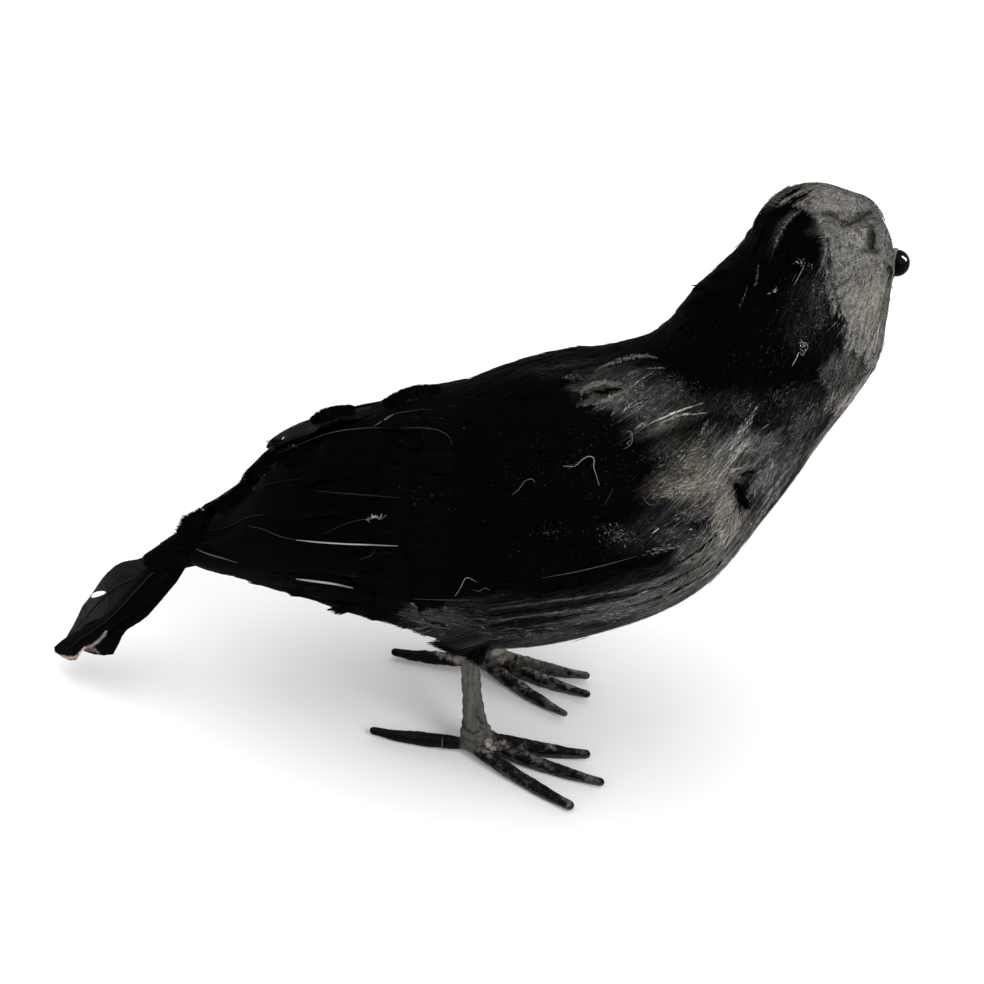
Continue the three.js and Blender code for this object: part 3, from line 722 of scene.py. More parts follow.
def contour(
    s0, a0, length, width, barbs=12, lay=0.018, turn=None, fray=0.22, lift=0.2,
    base=-0.45, thin=0.72, recess=False, keep=1.0, gain=1.0, contrast=0.42, curl=0.0,
    black=1.0,
):
    """Feathers with roots at (s0, a0), lying towards the tail."""
    n = len(s0)
    length = np.broadcast_to(length, n).astype(float)
    width = np.broadcast_to(width, n).astype(float)
    turn = np.zeros(n) if turn is None else np.broadcast_to(turn, n)
    ds, da = metrics(np.clip(s0 - 0.25, -0.5, LAST), a0)
    K = 3
    side = np.array([-1.0, 1.0])[None, :, None, None]
    vi = np.linspace(0.05, 0.97, barbs)
    L = length[:, None, None, None]
    Wd = width[:, None, None, None]
    rel = vi[None, None, :, None]
    v0 = (rel + rng.normal(0, 0.35 / barbs, (n, 2, barbs, 1))) * L
    prof = np.sqrt(np.clip(1 - ((rel - 0.42) / 0.62) ** 2, 0.02, 1))
    W = Wd * prof
    clump = rng.normal(0, fray, (n, 2, barbs, 1))
    clump = (clump + np.roll(clump, 1, 2) + np.roll(clump, -1, 2)) / 1.9
    tau = np.linspace(0, 1, K)[None, None, None, :]
    far = W * (1 + 0.25 * rng.normal(0, 1, (n, 2, barbs, 1)) * fray)
    u = side * (
        far * np.power(tau, 0.92) * (0.86 - 0.2 * rel) + clump * W * 0.22 * tau * tau
    )
    v = v0 + far * (0.75 + 0.75 * rel) * np.power(tau, 1.25) + clump * W * 0.18 * tau
    tip = np.clip(v / (L * 1.12), 0, 1.2)
    h = (
        base
        + lay * v
        + rng.normal(0, 1, (n, 1, 1, 1)) * 0.08
        + np.abs(rng.normal(0, 1, (n, 2, barbs, 1))) * lift * tip * tip
        + curl * np.power(tip, 2.5)
        - (u * u) / (Wd**2) * 0.25
    )
    half = (L / barbs) * thin * np.array([0.7, 1.0, 0.1])[None, None, None, :]
    c, sn = np.cos(turn)[:, None, None, None], np.sin(turn)[:, None, None, None]
    pts = []
    for e in (-1, 1):
        uu = u - e * half * 0.35 * side
        vv = v + e * half
        ur, vr = uu * c - vv * sn, uu * sn + vv * c
        sN = s0[:, None, None, None] - vr / ds[:, None, None, None]
        aN = a0[:, None, None, None] + ur / da[:, None, None, None]
        pts.append(surf(sN, aN, h, recess=recess))
    P = np.stack(pts, -2)
    strips = n * 2 * barbs
    P = P.reshape(strips, K * 2, 3)
    sM = (s0[:, None, None, None] - v / ds[:, None, None, None])[..., 1].reshape(-1)
    aM = (a0[:, None, None, None] + u / da[:, None, None, None])[..., 1].reshape(-1)
    g = tone_and_sheen_at(P.mean(1), normal_at(np.clip(sM, 0.05, LAST), aM))
    run = np.exp(contrast * 1.5 * streaks(sM, aM, 40))
    each = np.repeat(np.exp(rng.normal(0, contrast * 0.45, n)), 2 * barbs)
    each = each * np.exp(rng.normal(0, contrast * 0.75, strips))
    calm = 1 - 0.72 * sm(lin(62.0), lin(96.0), g.mean(-1)) * (s0.mean() > 9)
    g = BLACK * black + np.maximum(g - BLACK, 0) * (gain * (run * each) ** calm)[:, None]
    fade = np.array([0.65, 0.65, 1.05, 1.05, 1.2, 1.2])[None, :, None]
    col = BLACK * black + (g[:, None, :] - BLACK * black) * fade
    held = rng.random(strips) < keep
    P, col = P[held], col[held]
    return P.reshape(-1, 3), strip_faces(len(P), K), col.reshape(-1, 3)


def rows_of(s_from, s_to, a_from, a_to, spacing, row, jitter=0.3):
    """Roots in staggered rows: spacing mm round the body and row mm along it."""
    out, s, k = [], s_from, 0
    while s > s_to:
        d, _ = metrics(np.array([s]), np.array([(a_from + a_to) / 2]))
        _, r = metrics(np.full(24, s), np.linspace(a_from, a_to, 24))
        n = max(2, int((a_to - a_from) * r.mean() / spacing))
        a = a_from + (a_to - a_from) * (np.arange(n) + 0.5 * (k % 2) + 0.25) / n
        a = a + rng.normal(0, jitter * (a_to - a_from) / n, n)
        out.append(np.stack([s + rng.normal(0, jitter * row / d[0], n), a], -1))
        s -= row / d[0]
        k += 1
    r = np.concatenate(out)
    return r[:, 0], r[:, 1]


def feathers(name, made, material=None):
    v, f, c = made
    return own(mesh_piece(name, v, f, tone=c, material=material or M_PLUME))


# neck and nape
s0, a0 = rows_of(12.2, 8.6, 0, TAU, 3.6, 3.2)
L = np.interp(s0, [8.6, 10, 12.2], [15, 11, 7.5])
feathers(
    "neck_feathers",
    contour(s0, a0, L, L * 0.28, barbs=8, lay=0.02, turn=rng.normal(0, 0.1, len(s0))),
)
# breast, belly and back, as far as the wings leave them in sight
s0, a0 = rows_of(8.8, 3.75, 0, TAU, 5.6, 4.4)
ok = (s0 > 4.72 + 0.12 * rng.normal(0, 1, len(s0))) | (np.sin(a0) < -0.42)
s0, a0 = s0[ok], a0[ok]
L = np.interp(s0, [3.6, 5, 8.8], [23, 23, 16]) * np.exp(rng.normal(0, 0.1, len(s0)))
feathers(
    "breast_feathers",
    contour(s0, a0, L, L * 0.26, barbs=11, turn=rng.normal(0, 0.08, len(s0))),
)
# under the tail, and the rump under the folded wings
s0, a0 = rows_of(3.8, -0.1, math.pi * 1.04, math.pi * 1.96, 5.0, 4.2)
L = np.interp(s0, [0, 3.8], [13, 21])
feathers(
    "vent_feathers",
    contour(s0, a0, L, L * 0.27, barbs=9, fray=0.3, lift=0.3,
            turn=rng.normal(0, 0.1, len(s0))),
)
s0, a0 = rows_of(3.9, 0.0, 0, math.pi, 5.0, 4.2)
L = np.interp(s0, [0, 3.9], [12, 19])
feathers(
    "rump_feathers",
    contour(s0, a0, L, L * 0.3, barbs=7, turn=rng.normal(0, 0.1, len(s0)), recess=True,
            base=-1.05, lay=0.0, lift=0.05),
)


# --------------------------------------------------------------------------
# Long hair-like strands over the breast and belly
# --------------------------------------------------------------------------
def strands(s0, a0, length, width, K=6, base=-0.05, lay=0.015, turn=None, bend=0.1,
            seed=60, contrast=0.5, gain=1.0, lift=0.18, brightest=150.0, palest=400.0):
    n = len(s0)
    length = np.broadcast_to(length, n)
    width = np.broadcast_to(width, n)
    turn = np.zeros(n) if turn is None else np.broadcast_to(turn, n)
    ds, da = metrics(np.clip(s0 - 0.3, 0, LAST), a0)
    tau = np.linspace(0, 1, K)[None, :]
    v = length[:, None] * tau
    u = np.tan(turn)[:, None] * v + rng.normal(0, bend, (n, 1)) * v * tau
    h = base + lay * v + np.abs(rng.normal(0, 1, (n, 1))) * lift * (0.3 + 0.7 * tau)
    half = width[:, None] / 2 * (np.sin(np.pi * np.clip(0.12 + 0.88 * tau, 0, 1)) ** 0.6)
    half = np.maximum(half, 0.02)
    sN = s0[:, None] - v / ds[:, None]
    pts = [
        surf(sN, a0[:, None] + (u + e * half) / da[:, None], h, recess=False)
        for e in (-1, 1)
    ]
    P = np.stack(pts, 2)  # n, K, 2, 3
    aN = a0[:, None] + u / da[:, None]
    mid = P.mean(2)
    g = tone_and_sheen_at(mid, normal_at(np.clip(sN, 0.05, LAST), aN))
    ground = g.mean((1, 2))
    run = np.exp(contrast * 2.5 * streaks(sN[:, :1], aN[:, :1], seed))
    each = run * np.exp(rng.normal(0, contrast * 0.8, (n, 1)) + rng.normal(0, contrast * 0.3, (n, K)))
    g = BLACK + np.maximum(g - BLACK, 0) * (gain * each)[..., None]
    g = np.minimum(g, lin(brightest))
    col = np.repeat(g[:, :, None, :], 2, 2)
    # where the plumage is plain black the feathers beneath are enough
    lit = (g.mean((1, 2)) > lin(9)) & (ground < lin(palest))
    P, col = P[lit], col[lit]
    return P.reshape(-1, 3), strip_faces(len(P), K), col.reshape(-1, 3)


def spread(n, s_from, s_to, a_from, a_to):
    """Roots strewn evenly over a part of the skin."""
    s = rng.uniform(s_from, s_to, n * 3)
    a = rng.uniform(a_from, a_to, n * 3)
    d, r = metrics(s, a)
    k = d * r
    hold = rng.random(n * 3) < k / np.percentile(k, 95) * 0.75
    s, a = s[hold][:n], a[hold][:n]
    return s, a


s0, a0 = spread(25000, 4.2, 9.4, math.pi * 0.70, math.pi * 2.2)
L = np.interp(s0, [4.2, 6, 9.4], [18, 16, 10]) * np.exp(rng.normal(0, 0.3, len(s0)))
feathers(
    "breast_strands",
    strands(s0, a0, L, 0.19, K=4, turn=rng.normal(0, 0.075, len(s0)), bend=0.01, gain=0.9,
            contrast=0.66),
)
s0, a0 = spread(11500, 8.6, 12.3, math.pi * 0.60, math.pi * 2.3)
L = 5.0 * np.exp(rng.normal(0, 0.35, len(s0)))
feathers(
    "neck_strands",
    strands(s0, a0, L, 0.2, K=3, turn=rng.normal(0, 0.3, len(s0)), bend=0.03, gain=0.9,
            contrast=0.7, base=0.1, seed=62, brightest=120.0, palest=62.0),
)


def fuzz(n, s_from, s_to, a_from, a_to, gain, sigma, size=1.3, width=0.15, floor=13.0,
         palest=400.0):
    """The finest down: short hairs every way over the parts painted with sheen, some of them bright."""
    s, a = spread(n, s_from, s_to, a_from, a_to)
    n = len(s)
    ds, da = metrics(np.clip(s, 0, LAST), a)
    K = 2
    tau = np.linspace(0, 1, K)[None, :]
    way = rng.normal(0, 0.75, n)
    L = size * np.exp(rng.normal(0, 0.5, n))
    v = (L * np.cos(way))[:, None] * tau
    u = (L * np.sin(way))[:, None] * tau + rng.normal(0, 0.25, (n, 1)) * L[:, None] * tau**2
    h = 0.16 + rng.uniform(0, 0.3, (n, 1)) + rng.uniform(-0.08, 0.22, (n, 1)) * tau
    half = width / 2 * np.exp(rng.normal(0, 0.25, (n, 1))) * np.array([1.0, 0.15])[None]
    cu, su = np.cos(way)[:, None], np.sin(way)[:, None]
    pts = []
    for e in (-1, 1):
        uu, vv = u + e * half * cu, v - e * half * su
        pts.append(surf(s[:, None] - vv / ds[:, None], a[:, None] + uu / da[:, None], h, recess=False))
    P = np.stack(pts, 2)
    g = tone_and_sheen_at(P[:, 0].mean(1), normal_at(np.clip(s, 0.05, LAST), a))
    ground = g.mean(1)
    g = g * gain * np.exp(rng.normal(0, sigma, n))[:, None]
    g = np.minimum(g, lin(190))
    lit = (g.mean(1) > lin(floor)) & (ground < lin(palest))
    P, g = P[lit], g[lit]
    col = np.broadcast_to(g[:, None, None, :], (len(P), K, 2, 3))
    return P.reshape(-1, 3), strip_faces(len(P), K), col.reshape(-1, 3)


feathers("breast_down", fuzz(20000, 4.0, 9.4, math.pi * 0.70, math.pi * 2.25, 0.9, 0.9))
feathers("neck_down", fuzz(17000, 8.8, 12.4, math.pi * 0.6, math.pi * 2.35, 1.0, 1.0, size=0.9, width=0.13,
                           palest=66.0))

# --------------------------------------------------------------------------
# Wings: long smooth feathers that lie over one another, with their shafts
# --------------------------------------------------------------------------
_s = np.linspace(0, 8, 801)
_c = station(_s)
_al, _lf, _bk = axes(_s)


def middle_z(x):
    return np.interp(x, _c[:, 0], _c[:, 2])


def _outside(p):
    d = (p[:, None, 0] - _c[None, :, 0]) ** 2 + (p[:, None, 2] - _c[None, :, 2]) ** 2
    i = d.argmin(1)
    r = p - _c[i, :3]
    u, v = (r * _lf[i]).sum(1), (r * _bk[i]).sum(1)
    u = u / np.where(u > 0, _c[i, 6], _c[i, 5])
    v = v / np.where(v > 0, _c[i, 3], _c[i, 4])
    return u * u + v * v > 1


REACH_X = np.arange(-100, -5.0, 1.0)
REACH_D = np.arange(-42, 100.0, 3.0)
_X, _D = np.meshgrid(REACH_X, np.radians(REACH_D), indexing="ij")
_X, _D = _X.ravel(), _D.ravel()
_Z = middle_z(np.maximum(_X, -89))
_lo, _hi = np.zeros(len(_X)), np.full(len(_X), 60.0)
for _ in range(16):
    _m = (_lo + _hi) / 2
    _o = _outside(np.stack([_X, -_m * np.cos(_D), _Z + _m * np.sin(_D)], 1))
    _hi = np.where(_o, _m, _hi)
    _lo = np.where(_o, _lo, _m)
REACH = np.where(_X <= -89, 6.0, _hi).reshape(len(REACH_X), len(REACH_D))


def reach(x, deg):
    fx = np.clip(x - REACH_X[0], 0, len(REACH_X) - 1.001)
    fd = np.clip((deg - REACH_D[0]) / 3, 0, len(REACH_D) - 1.001)
    i, j = fx.astype(int), fd.astype(int)
    tx, td = fx - i, fd - j
    return (
        REACH[i, j] * (1 - tx) * (1 - td)
        + REACH[i + 1, j] * tx * (1 - td)
        + REACH[i, j + 1] * (1 - tx) * td
        + REACH[i + 1, j + 1] * tx * td
    )


def wing_point(x, deg, off):
    base = np.sqrt(np.maximum(reach(x, deg), 5.7) ** 2 + (8.2 / 2.2) ** 2)
    a, d = np.radians(deg), base + off
    z = middle_z(np.maximum(x, -89)) + np.minimum(0, x + 89) * 0.35
    # the folded wings dip over the rump and stand proud of the middle of the back
    z = z - 2.5 * sm(-67, -76, x) * sm(26, 48, deg)
    z = z + 3.4 * np.exp(-(((x + 45.2) / 4.3) ** 2)) * sm(58, 80, deg)
    return np.stack([x, -d * np.cos(a), z + d * np.sin(a)], -1)


# root, middle and tip (x, degrees up from the side), and the width above and below
WING = [
    ("outer_primary", -14, -13, -52, -17, -93.5, 16, 12, 4.0),
    ("primary", -14, 5, -52, 4, -95, 34, 12, 9.5),
    ("inner_primary", -14, 22, -50, 23, -91, 47, 12.5, 10),
    ("secondary", -14, 41, -48, 42, -83, 58, 12, 10.5),
    ("tertial", -14, 61, -42, 61, -66, 70, 12.5, 12),
]
LAY = 0.095


def shaft_angle(f, x):
    _, x0, a0, xm, am, x1, a1, _, _ = f
    return (
        (x - xm) * (x - x1) / ((x0 - xm) * (x0 - x1)) * a0
        + (x - x0) * (x - x1) / ((xm - x0) * (xm - x1)) * am
        + (x - x0) * (x - xm) / ((x1 - x0) * (x1 - xm)) * a1
    )


def layer(k, x):
    out = 0 * x
    for f, g in zip(WING[:k], WING[1 : k + 1]):
        fa, ga = shaft_angle(f, x), shaft_angle(g, x)
        r = np.maximum(10, reach(x, (fa + ga) / 2))
        step = 1.45 + (0.62 - 1.45) * sm(-66, -34, x)
        out = out + np.maximum(0, step - LAY * np.radians(ga - fa) * r) * sm(
            f[5] - 9, f[5] - 1, x
        )
    return out


def vane(place_at, length, high, low, rows=110, cols=12, lean=9.0, slits=(), jag=0.02,
         seed=1, start=0.0):
    """A feather's two vanes: place_at(l, w) puts l mm along and w mm across."""
    if np.ndim(rows):
        l0, rows = np.asarray(rows, float), len(rows)
    else:
        l0 = start + (length - start) * np.linspace(0, 1, rows) ** 0.94
    out, uv, keep = [], [], []
    q = np.linspace(0, 1, cols)
    for side, edge in ((-1, low), (1, high)):
        le = l0 + lean * (1 - l0 / length)
        w = edge(le)
        w = w * (1 + jag * noise2(l0 / 0.9, side * 7.0, seed) + jag * noise2(l0 / 3.1, side * 3.0, seed + 1))
        ll = l0[:, None] + (le - l0)[:, None] * q[None, :] ** 1.25
        ww = w[:, None] * q[None, :]
        if side < 0:
            ll, ww, qq = ll[:, ::-1], ww[:, ::-1], q[::-1]
        else:
            ll, ww, qq = ll[:, 1:], ww[:, 1:], q[1:]
        out.append(np.stack([ll, ww], -1))
        uv.append(np.stack([np.broadcast_to(0.5 + 0.5 * side * qq, ll.shape), ll * 0 + l0[:, None]], -1))
        keep.append((side, le))
    lw = np.concatenate(out, 1)
    uv = np.concatenate(uv, 1)
    n = lw.shape[1]
    P = place_at(lw[..., 0], lw[..., 1])
    i, j = np.meshgrid(np.arange(rows - 1), np.arange(n - 1), indexing="ij")
    f = np.stack([i * n + j, i * n + j + 1, (i + 1) * n + j + 1, (i + 1) * n + j], -1)
    ok = np.ones(i.shape, bool)
    qcol = (np.arange(n - 1) + 0.5 - (cols - 1)) / (cols - 1)
    for side, a, b, q0 in slits:
        le = keep[0][1] if side < 0 else keep[1][1]
        off = np.abs(le[:-1] - (a + b) / 2)
        room = np.sqrt(np.clip((qcol * side - q0) / (1 - q0), 0, 1)) * (b - a) / 2
        ok &= ~((off[:, None] < room[None, :]) & (qcol * side > q0)[None, :])
    return P, f[ok], uv, lw


def shaft(place_at, length, tone, start=0.0, r0=0.5, r1=0.14, n=60):
    l = np.linspace(start, length * 0.975, n)
    p = place_at(l, np.zeros(n))
    r = np.linspace(r0, r1, n)
    v, f = thread(p, r, 5)
    return v, f, np.repeat(tone(p), 5, 0)


def glint(marks, base=(6, 6, 6)):
    """A shaft's tone from the places, across the photograph, where it catches the light."""
    xs = np.array([m[0] for m in marks], float)
    ks = np.array([m[1] for m in marks], float)

    def tone(p):
        u, _ = place(p)
        g = np.interp(u, xs, ks) * 1.0
        g = g * (0.85 + 0.3 * noise3(p * 0.6, 12))
        return lin(np.maximum(g, base[0]))[:, None] * np.ones(3)

    return tone


vanes_r, vanes_l = Gather(), Gather()
shafts = Gather()
for mirror in (False, True):
    for k, f in enumerate(WING):
        name, x0, _, _, _, x1, _, up, down = f
        length = x0 - x1 - (7.5 if mirror and name == "secondary" else 0)

        def at(l, w, proud=0.0, k=k, f=f, mirror=mirror, x0=x0):
            x = x0 - l
            ang = shaft_angle(f, x)
            r = np.maximum(9, reach(x, ang))
            lift = 4.6 * (0.5 + 0.125 * k) * sm(-16, -52, -np.abs(x)) if False else 0.0
            if mirror:
                lift = 4.6 * (0.5 + 0.125 * k) * (1 - sm(-52, -16, x))
            out = -1.6 + layer(k, x) + lift
            out = out - 0.9 * (1 - sm(0, 26, l + 4))
            ripple = 0.22 * np.sin(w * 0.5 + l * 0.11 + k) * np.clip(np.abs(w) / 8, 0, 1)
            p = wing_point(
                x, ang + np.degrees(w / (r + out)), out + proud - LAY * w + ripple
            )
            if mirror:
                p = p * np.array([1, -1, 1.0])
            return p

        def span(l, full, f=f, length=length, x0=x0, down_side=False):
            u = np.clip(l / length, 0, 1)
            root = 0.55 + 0.45 * sm(0, 0.3, u)
            tip = np.sqrt(np.maximum(0.0, 1 - np.power(np.maximum(0, (u - 0.78) / 0.22), 2.3)))
            return full * root * tip

        def high(l, f=f, up=up):
            x = f[1] - l
            ang = shaft_angle(f, x)
            r = np.maximum(9, reach(x, ang))
            wave = 1 + (0.10 * np.sin(l * 0.17 + 1.0) if f[0] in ("tertial", "secondary") else 0)
            return np.minimum(span(l, up) * wave, np.radians(90 - ang) * r)

        def low(l, down=down):
            return -span(l, down)

        seed = 100 + 10 * k + (5 if mirror else 0)
        slits = {
            0: [(-1, 50, 51.2, 0.5)],
            1: [(1, 71.6, 72.8, 0.6)],
            2: [(1, 66.0, 67.0, 0.62)],
            3: [(1, 62.4, 63.2, 0.6)],
            4: [(1, 46.0, 47.0, 0.6)],
        }[k]
        P, faces, uv, lw = vane(
            at, length, high, low, rows=130, cols=10, slits=slits, jag=0.018, seed=seed,
            start=4.0,
        )
        pts = P.reshape(-1, 3)
        # painted sheen on the vanes: lighter toward their edges, brightest at the very edge and near the tip, a little
        # blue
        edge = np.abs(uv[..., 0].reshape(-1) * 2 - 1)
        strip = noise2(uv[..., 1].reshape(-1) / 0.5, edge * 1.5 + k, seed + 3)
        far_end = sm(0.8, 1.0, lw[..., 0].reshape(-1) / length)
        g = 2.5 + 1.6 * np.clip(strip, 0, 1) * edge + 2 * edge**10 + 2 * far_end * edge
        tone = lin(g)[:, None] * np.array([1.0, 1.0, 1.06])
        o = mesh_piece(
            ("left_" if mirror else "right_") + name + "_vane", pts, faces, tone=tone,
            uv=uv.reshape(-1, 2), material=M_VANE,
        )
        own(o, replaced=(("left_wing_" if mirror else "right_wing_") + name,))
        marks = [(0, 5), (984, 5)]
        shafts.add(*shaft(lambda l, w: at(l, w, 0.32), length, glint(marks), start=8.0))
own(shafts.piece("wing_shafts", M_SHAFT))

# The coverts: shorter feathers of the same kind over the roots of the long ones.
coverts, covert_uv, covert_shafts = Gather(), [], Gather()
for mirror in (False, True):
    for row, (x_root, size, degs) in enumerate(
        [
            (0.0, 26.0, np.arange(-20, 88, 9.5)),
            (7.5, 23.0, np.arange(-15, 90, 9.5)),
        ]
    ):
        for deg in degs:
            x0 = x_root + rng.normal(0, 0.8)
            deg = deg + rng.normal(0, 1.0)
            size_f = size * rng.uniform(0.94, 1.06)
            sway = rng.normal(0, 0.05)
            tall = rng.normal(0, 0.12)

            def at(l, w, x0=x0, deg=deg, mirror=mirror, sway=sway, row=row, tall=tall):
                x = x0 - l
                r = np.maximum(12, reach(np.minimum(x, -6.5), deg))
                lift = 4.6 * 0.6 * (1 - sm(-52, -16, x)) if mirror else 0.0
                out = -0.55 + 0.35 * row + 1.55 * sm(8, 27, l) + tall + lift
                out = out + (1.5 * sm(12, 25, l) * sm(64, 84, deg) if row == 0 else 0.0)
                off = wing_point(
                    np.minimum(x, -6.5), deg + np.degrees((w + sway * l) / r), out - 0.06 * w
                )
                off[..., 0] = x
                ahead = np.maximum(0, x + 6.5)[..., None]
                off = off + ahead * np.array([0, -0.05, 0.09])
                if mirror:
                    off = off * np.array([1, -1, 1.0])
                return off

            def span(l, size_f=size_f):
                u = np.clip(l / size_f, 0, 1)
                return 6.2 * np.sqrt(sm(0, 0.35, u) * 0.8 + 0.2) * np.sqrt(
                    np.maximum(0, 1 - np.maximum(0, (u - 0.6) / 0.4) ** 2.2)
                )

            P, faces, uv, lw = vane(
                at, size_f, span, lambda l: -span(l), rows=36, cols=6, lean=5, jag=0.05,
                seed=int(rng.integers(1e6)),
            )
            e = np.abs(uv[..., 0].reshape(-1) * 2 - 1)
            g = 2.6 + 0.5 * rng.random() + 0.0 * e
            coverts.add(P, faces, lin(g)[:, None] * np.array([1.0, 1.0, 1.04]))
            covert_uv.append(uv.reshape(-1, 2))
            covert_shafts.add(
                *shaft(lambda l, w: at(l, w) + 0.0, size_f, glint([(0, 5), (984, 5)], (4,)),
                       start=3.0, r0=0.16, r1=0.08, n=18)
            )
own(
    coverts.piece("wing_coverts", M_PLUME, uv=np.concatenate(covert_uv)),
)
own(covert_shafts.piece("covert_shafts", M_SHAFT))

# --------------------------------------------------------------------------
# Tail: three long feathers in a loosely twisted bundle, with cut ends
# --------------------------------------------------------------------------
_drop, _turn, _roll = math.radians(44.5), math.radians(1), math.radians(32)
T_MAIN = np.array(
    [-math.cos(_drop) * math.cos(_turn), math.cos(_drop) * math.sin(_turn), -math.sin(_drop)]
)
_left = np.array([math.sin(_turn), math.cos(_turn), 0])
_top = unit(np.cross(_left, T_MAIN))
_top = _top * np.sign(_top[2])
T_SIDE = _left * math.cos(_roll) + _top * math.sin(_roll)
T_OVER = _top * math.cos(_roll) - _left * math.sin(_roll)
T_ROOT = np.array([-87, 0, 57.0])


NOTCH = [(91, 597.2), (92.5, 593.6), (97, 591.5), (103, 591), (106.5, 592.2), (104, 594.2), (99, 596.2),
         (94, 597.6)]
CUT_ENDS = [
    ([(61, 656.4), (66, 657.6), (72, 658.2), (77, 657)], 1.6, (158, 142, 126)),
    ([(77, 657), (80, 654), (82, 651)], 1.3, (150, 128, 116)),
    ([(84, 650.5), (90, 649), (94, 649.5)], 2.0, (104, 84, 80)),
    ([(94, 650), (99, 653)], 1.0, (96, 92, 90)),
    ([(80, 653), (85, 648), (91, 646), (97, 642), (103, 636), (106, 632)], 1.1, (190, 184, 174)),
]


def tail_feather(name, node_name, lay, fan, length, high, low, curve, gaps, seed, cuts=(),
                 broad_sheen=8.0, shaft_at=0.0):
    f = math.radians(fan)
    along = T_MAIN * math.cos(f) + T_SIDE * math.sin(f)
    across = T_SIDE * math.cos(f) - T_MAIN * math.sin(f)
    hx, hy = np.array(high, float).T
    lx, ly = np.array(low, float).T

    def axis_w(l):
        # the shaft keeps to the middle of the feather as that wanders
        return shaft_at + 0.5 * (np.interp(l, hx, hy) + np.interp(l, lx, ly))

    def at(l, w, proud=0.0):
        bow = 1.0 + 1.6 * np.sin(np.pi * np.clip(l / length, 0, 1))
        wv = w + 0 * l
        lift = curve * (wv / 8) ** 2 + 0.35 * np.sin(l * 0.16 + seed) * np.clip(np.abs(wv) / 8, 0, 1)
        return (
            T_ROOT
            + T_OVER * (lay + bow + proud - lift)[..., None]
            + along * l[..., None]
            + across * (wv + axis_w(l))[..., None]
        )

    def up(l):
        return np.interp(l, hx, hy) - axis_w(l)

    def down(l):
        return np.interp(l, lx, ly) - axis_w(l)

    P, faces, uv, lw = vane(
        at, length, up, down,
        rows=np.concatenate([np.linspace(1.5, 24, 50)[:-1], np.linspace(24, 58, 190)[:-1], np.linspace(58, length, 50)])
        if gaps else 150,
        cols=32 if gaps else 14, lean=12.0, jag=0.008, seed=seed, start=1.5,
    )
    mx, my = place(P.reshape(-1, 3)[faces].mean(1))
    for ring in gaps:
        faces = faces[~inside(mx, my, ring)]
        mx, my = place(P.reshape(-1, 3)[faces].mean(1))
    # painted sheen on the feather: lighter over the broad face and along the edges, darker toward the root as shade
    # under the coverts; the cut ends keep their own pale colour
    e = np.abs(uv[..., 0].reshape(-1) * 2 - 1)
    l = lw[..., 0].reshape(-1)
    band = noise2(uv[..., 1].reshape(-1) / 0.55, e * 1.2, seed + 9)
    root_shade = 0.08 + 0.56 * sm(8, 30, l) + 0.4 * sm(40, 54, l) if broad_sheen > 10 else 0.55 + 0.45 * sm(0, 30, l)
    g = broad_sheen * (1 + 0.25 * band) * root_shade + (12 if broad_sheen > 10 else 5) * e**14
    tone = lin(np.maximum(g, 2.5))[:, None] * np.ones(3)
    x, y = place(P.reshape(-1, 3))
    for k in cuts:
        line, half, c = CUT_ENDS[k]
        cut = 1 - sm(half - 0.7, half + 0.7, seg_distance(x, y + 0.3 * np.sin(x), line))
        tone = tone * (1 - cut[:, None]) + lin(c) * cut[:, None]
    own(
        mesh_piece(name, P.reshape(-1, 3), faces, tone=tone, uv=uv.reshape(-1, 2), material=M_VANE),
        replaced=(node_name,),
    )
    return shaft(lambda l, w: at(l, w, 0.3), length * 0.93, glint([(0, broad_sheen * 0.7), (984, broad_sheen * 0.7)], (4,)),
                 start=2.0, r0=0.55, r1=0.16)


tail_shafts = Gather()
tail_shafts.add(*tail_feather(
    "tail_left", "tail_feather_left", -1.3, 4, 69.0,
    [(0, 3), (9, 6.5), (16, 8.2), (24, 8.0), (29, 9.0), (35.3, 11.5), (40, 12.4), (45, 12.2),
     (48.7, 11.1), (53.5, 8.6), (55.7, 7.6), (58.5, 6.7), (61, 4.4), (64, 2.2), (66.5, 0.9), (69, -0.4)],
    [(0, -3), (12, -4), (30, -4), (45, -4.5), (58, -4), (66, -2.2), (69, -1.0)],
    1.2, [NOTCH], 31, broad_sheen=39.0,
))
tail_shafts.add(*tail_feather(
    "tail_middle", "tail_feather_middle", 0.5, -1, 73.0,
    [(0, 5), (6, 8.6), (12, 8.4), (22, 7.4), (28.8, 5.1), (34.6, 2.9), (40.4, 0.9), (47, 0.2),
     (54.8, 1.6), (63.7, 4.2), (69, 4.6), (73, 4.4)],
    [(0, -3.6), (8, -4.6), (14.5, -5.4), (25.7, -6.6), (38.6, -6.4), (49.2, -5.0), (53, -5.1), (57.5, -4.5),
     (61.6, -5.2), (64, -5.6), (66.9, -4.2), (69.9, -1.2), (72.6, 2.2)],
    2.2, [], 32, cuts=(0, 1, 4), broad_sheen=3.0,
))
tail_shafts.add(*tail_feather(
    "tail_right", "tail_feather_right", -0.6, -6, 63.0,
    [(0, 2), (10, 4), (24, 5), (35.5, 4.4), (42.7, 3.7), (46, 5.4), (50.6, 8.4), (54.4, 10.4), (57, 10.4),
     (60, 8.6), (63, 5.2)],
    [(0, -2.6), (8.3, -4.1), (12, -4.8), (16, -5.6), (20, -6.3), (25, -6.8), (29, -7.2), (33.4, -6.7),
     (39.4, -5.4), (42, -5.8), (45.2, -7.0), (49.3, -7.8), (53.2, -5.6), (57, -2.6),
     (60, 0.5), (63, 3.8)],
    1.6, [], 33, cuts=(2, 3, 4), broad_sheen=2.8,
))
own(tail_shafts.piece("tail_shafts", M_SHAFT))

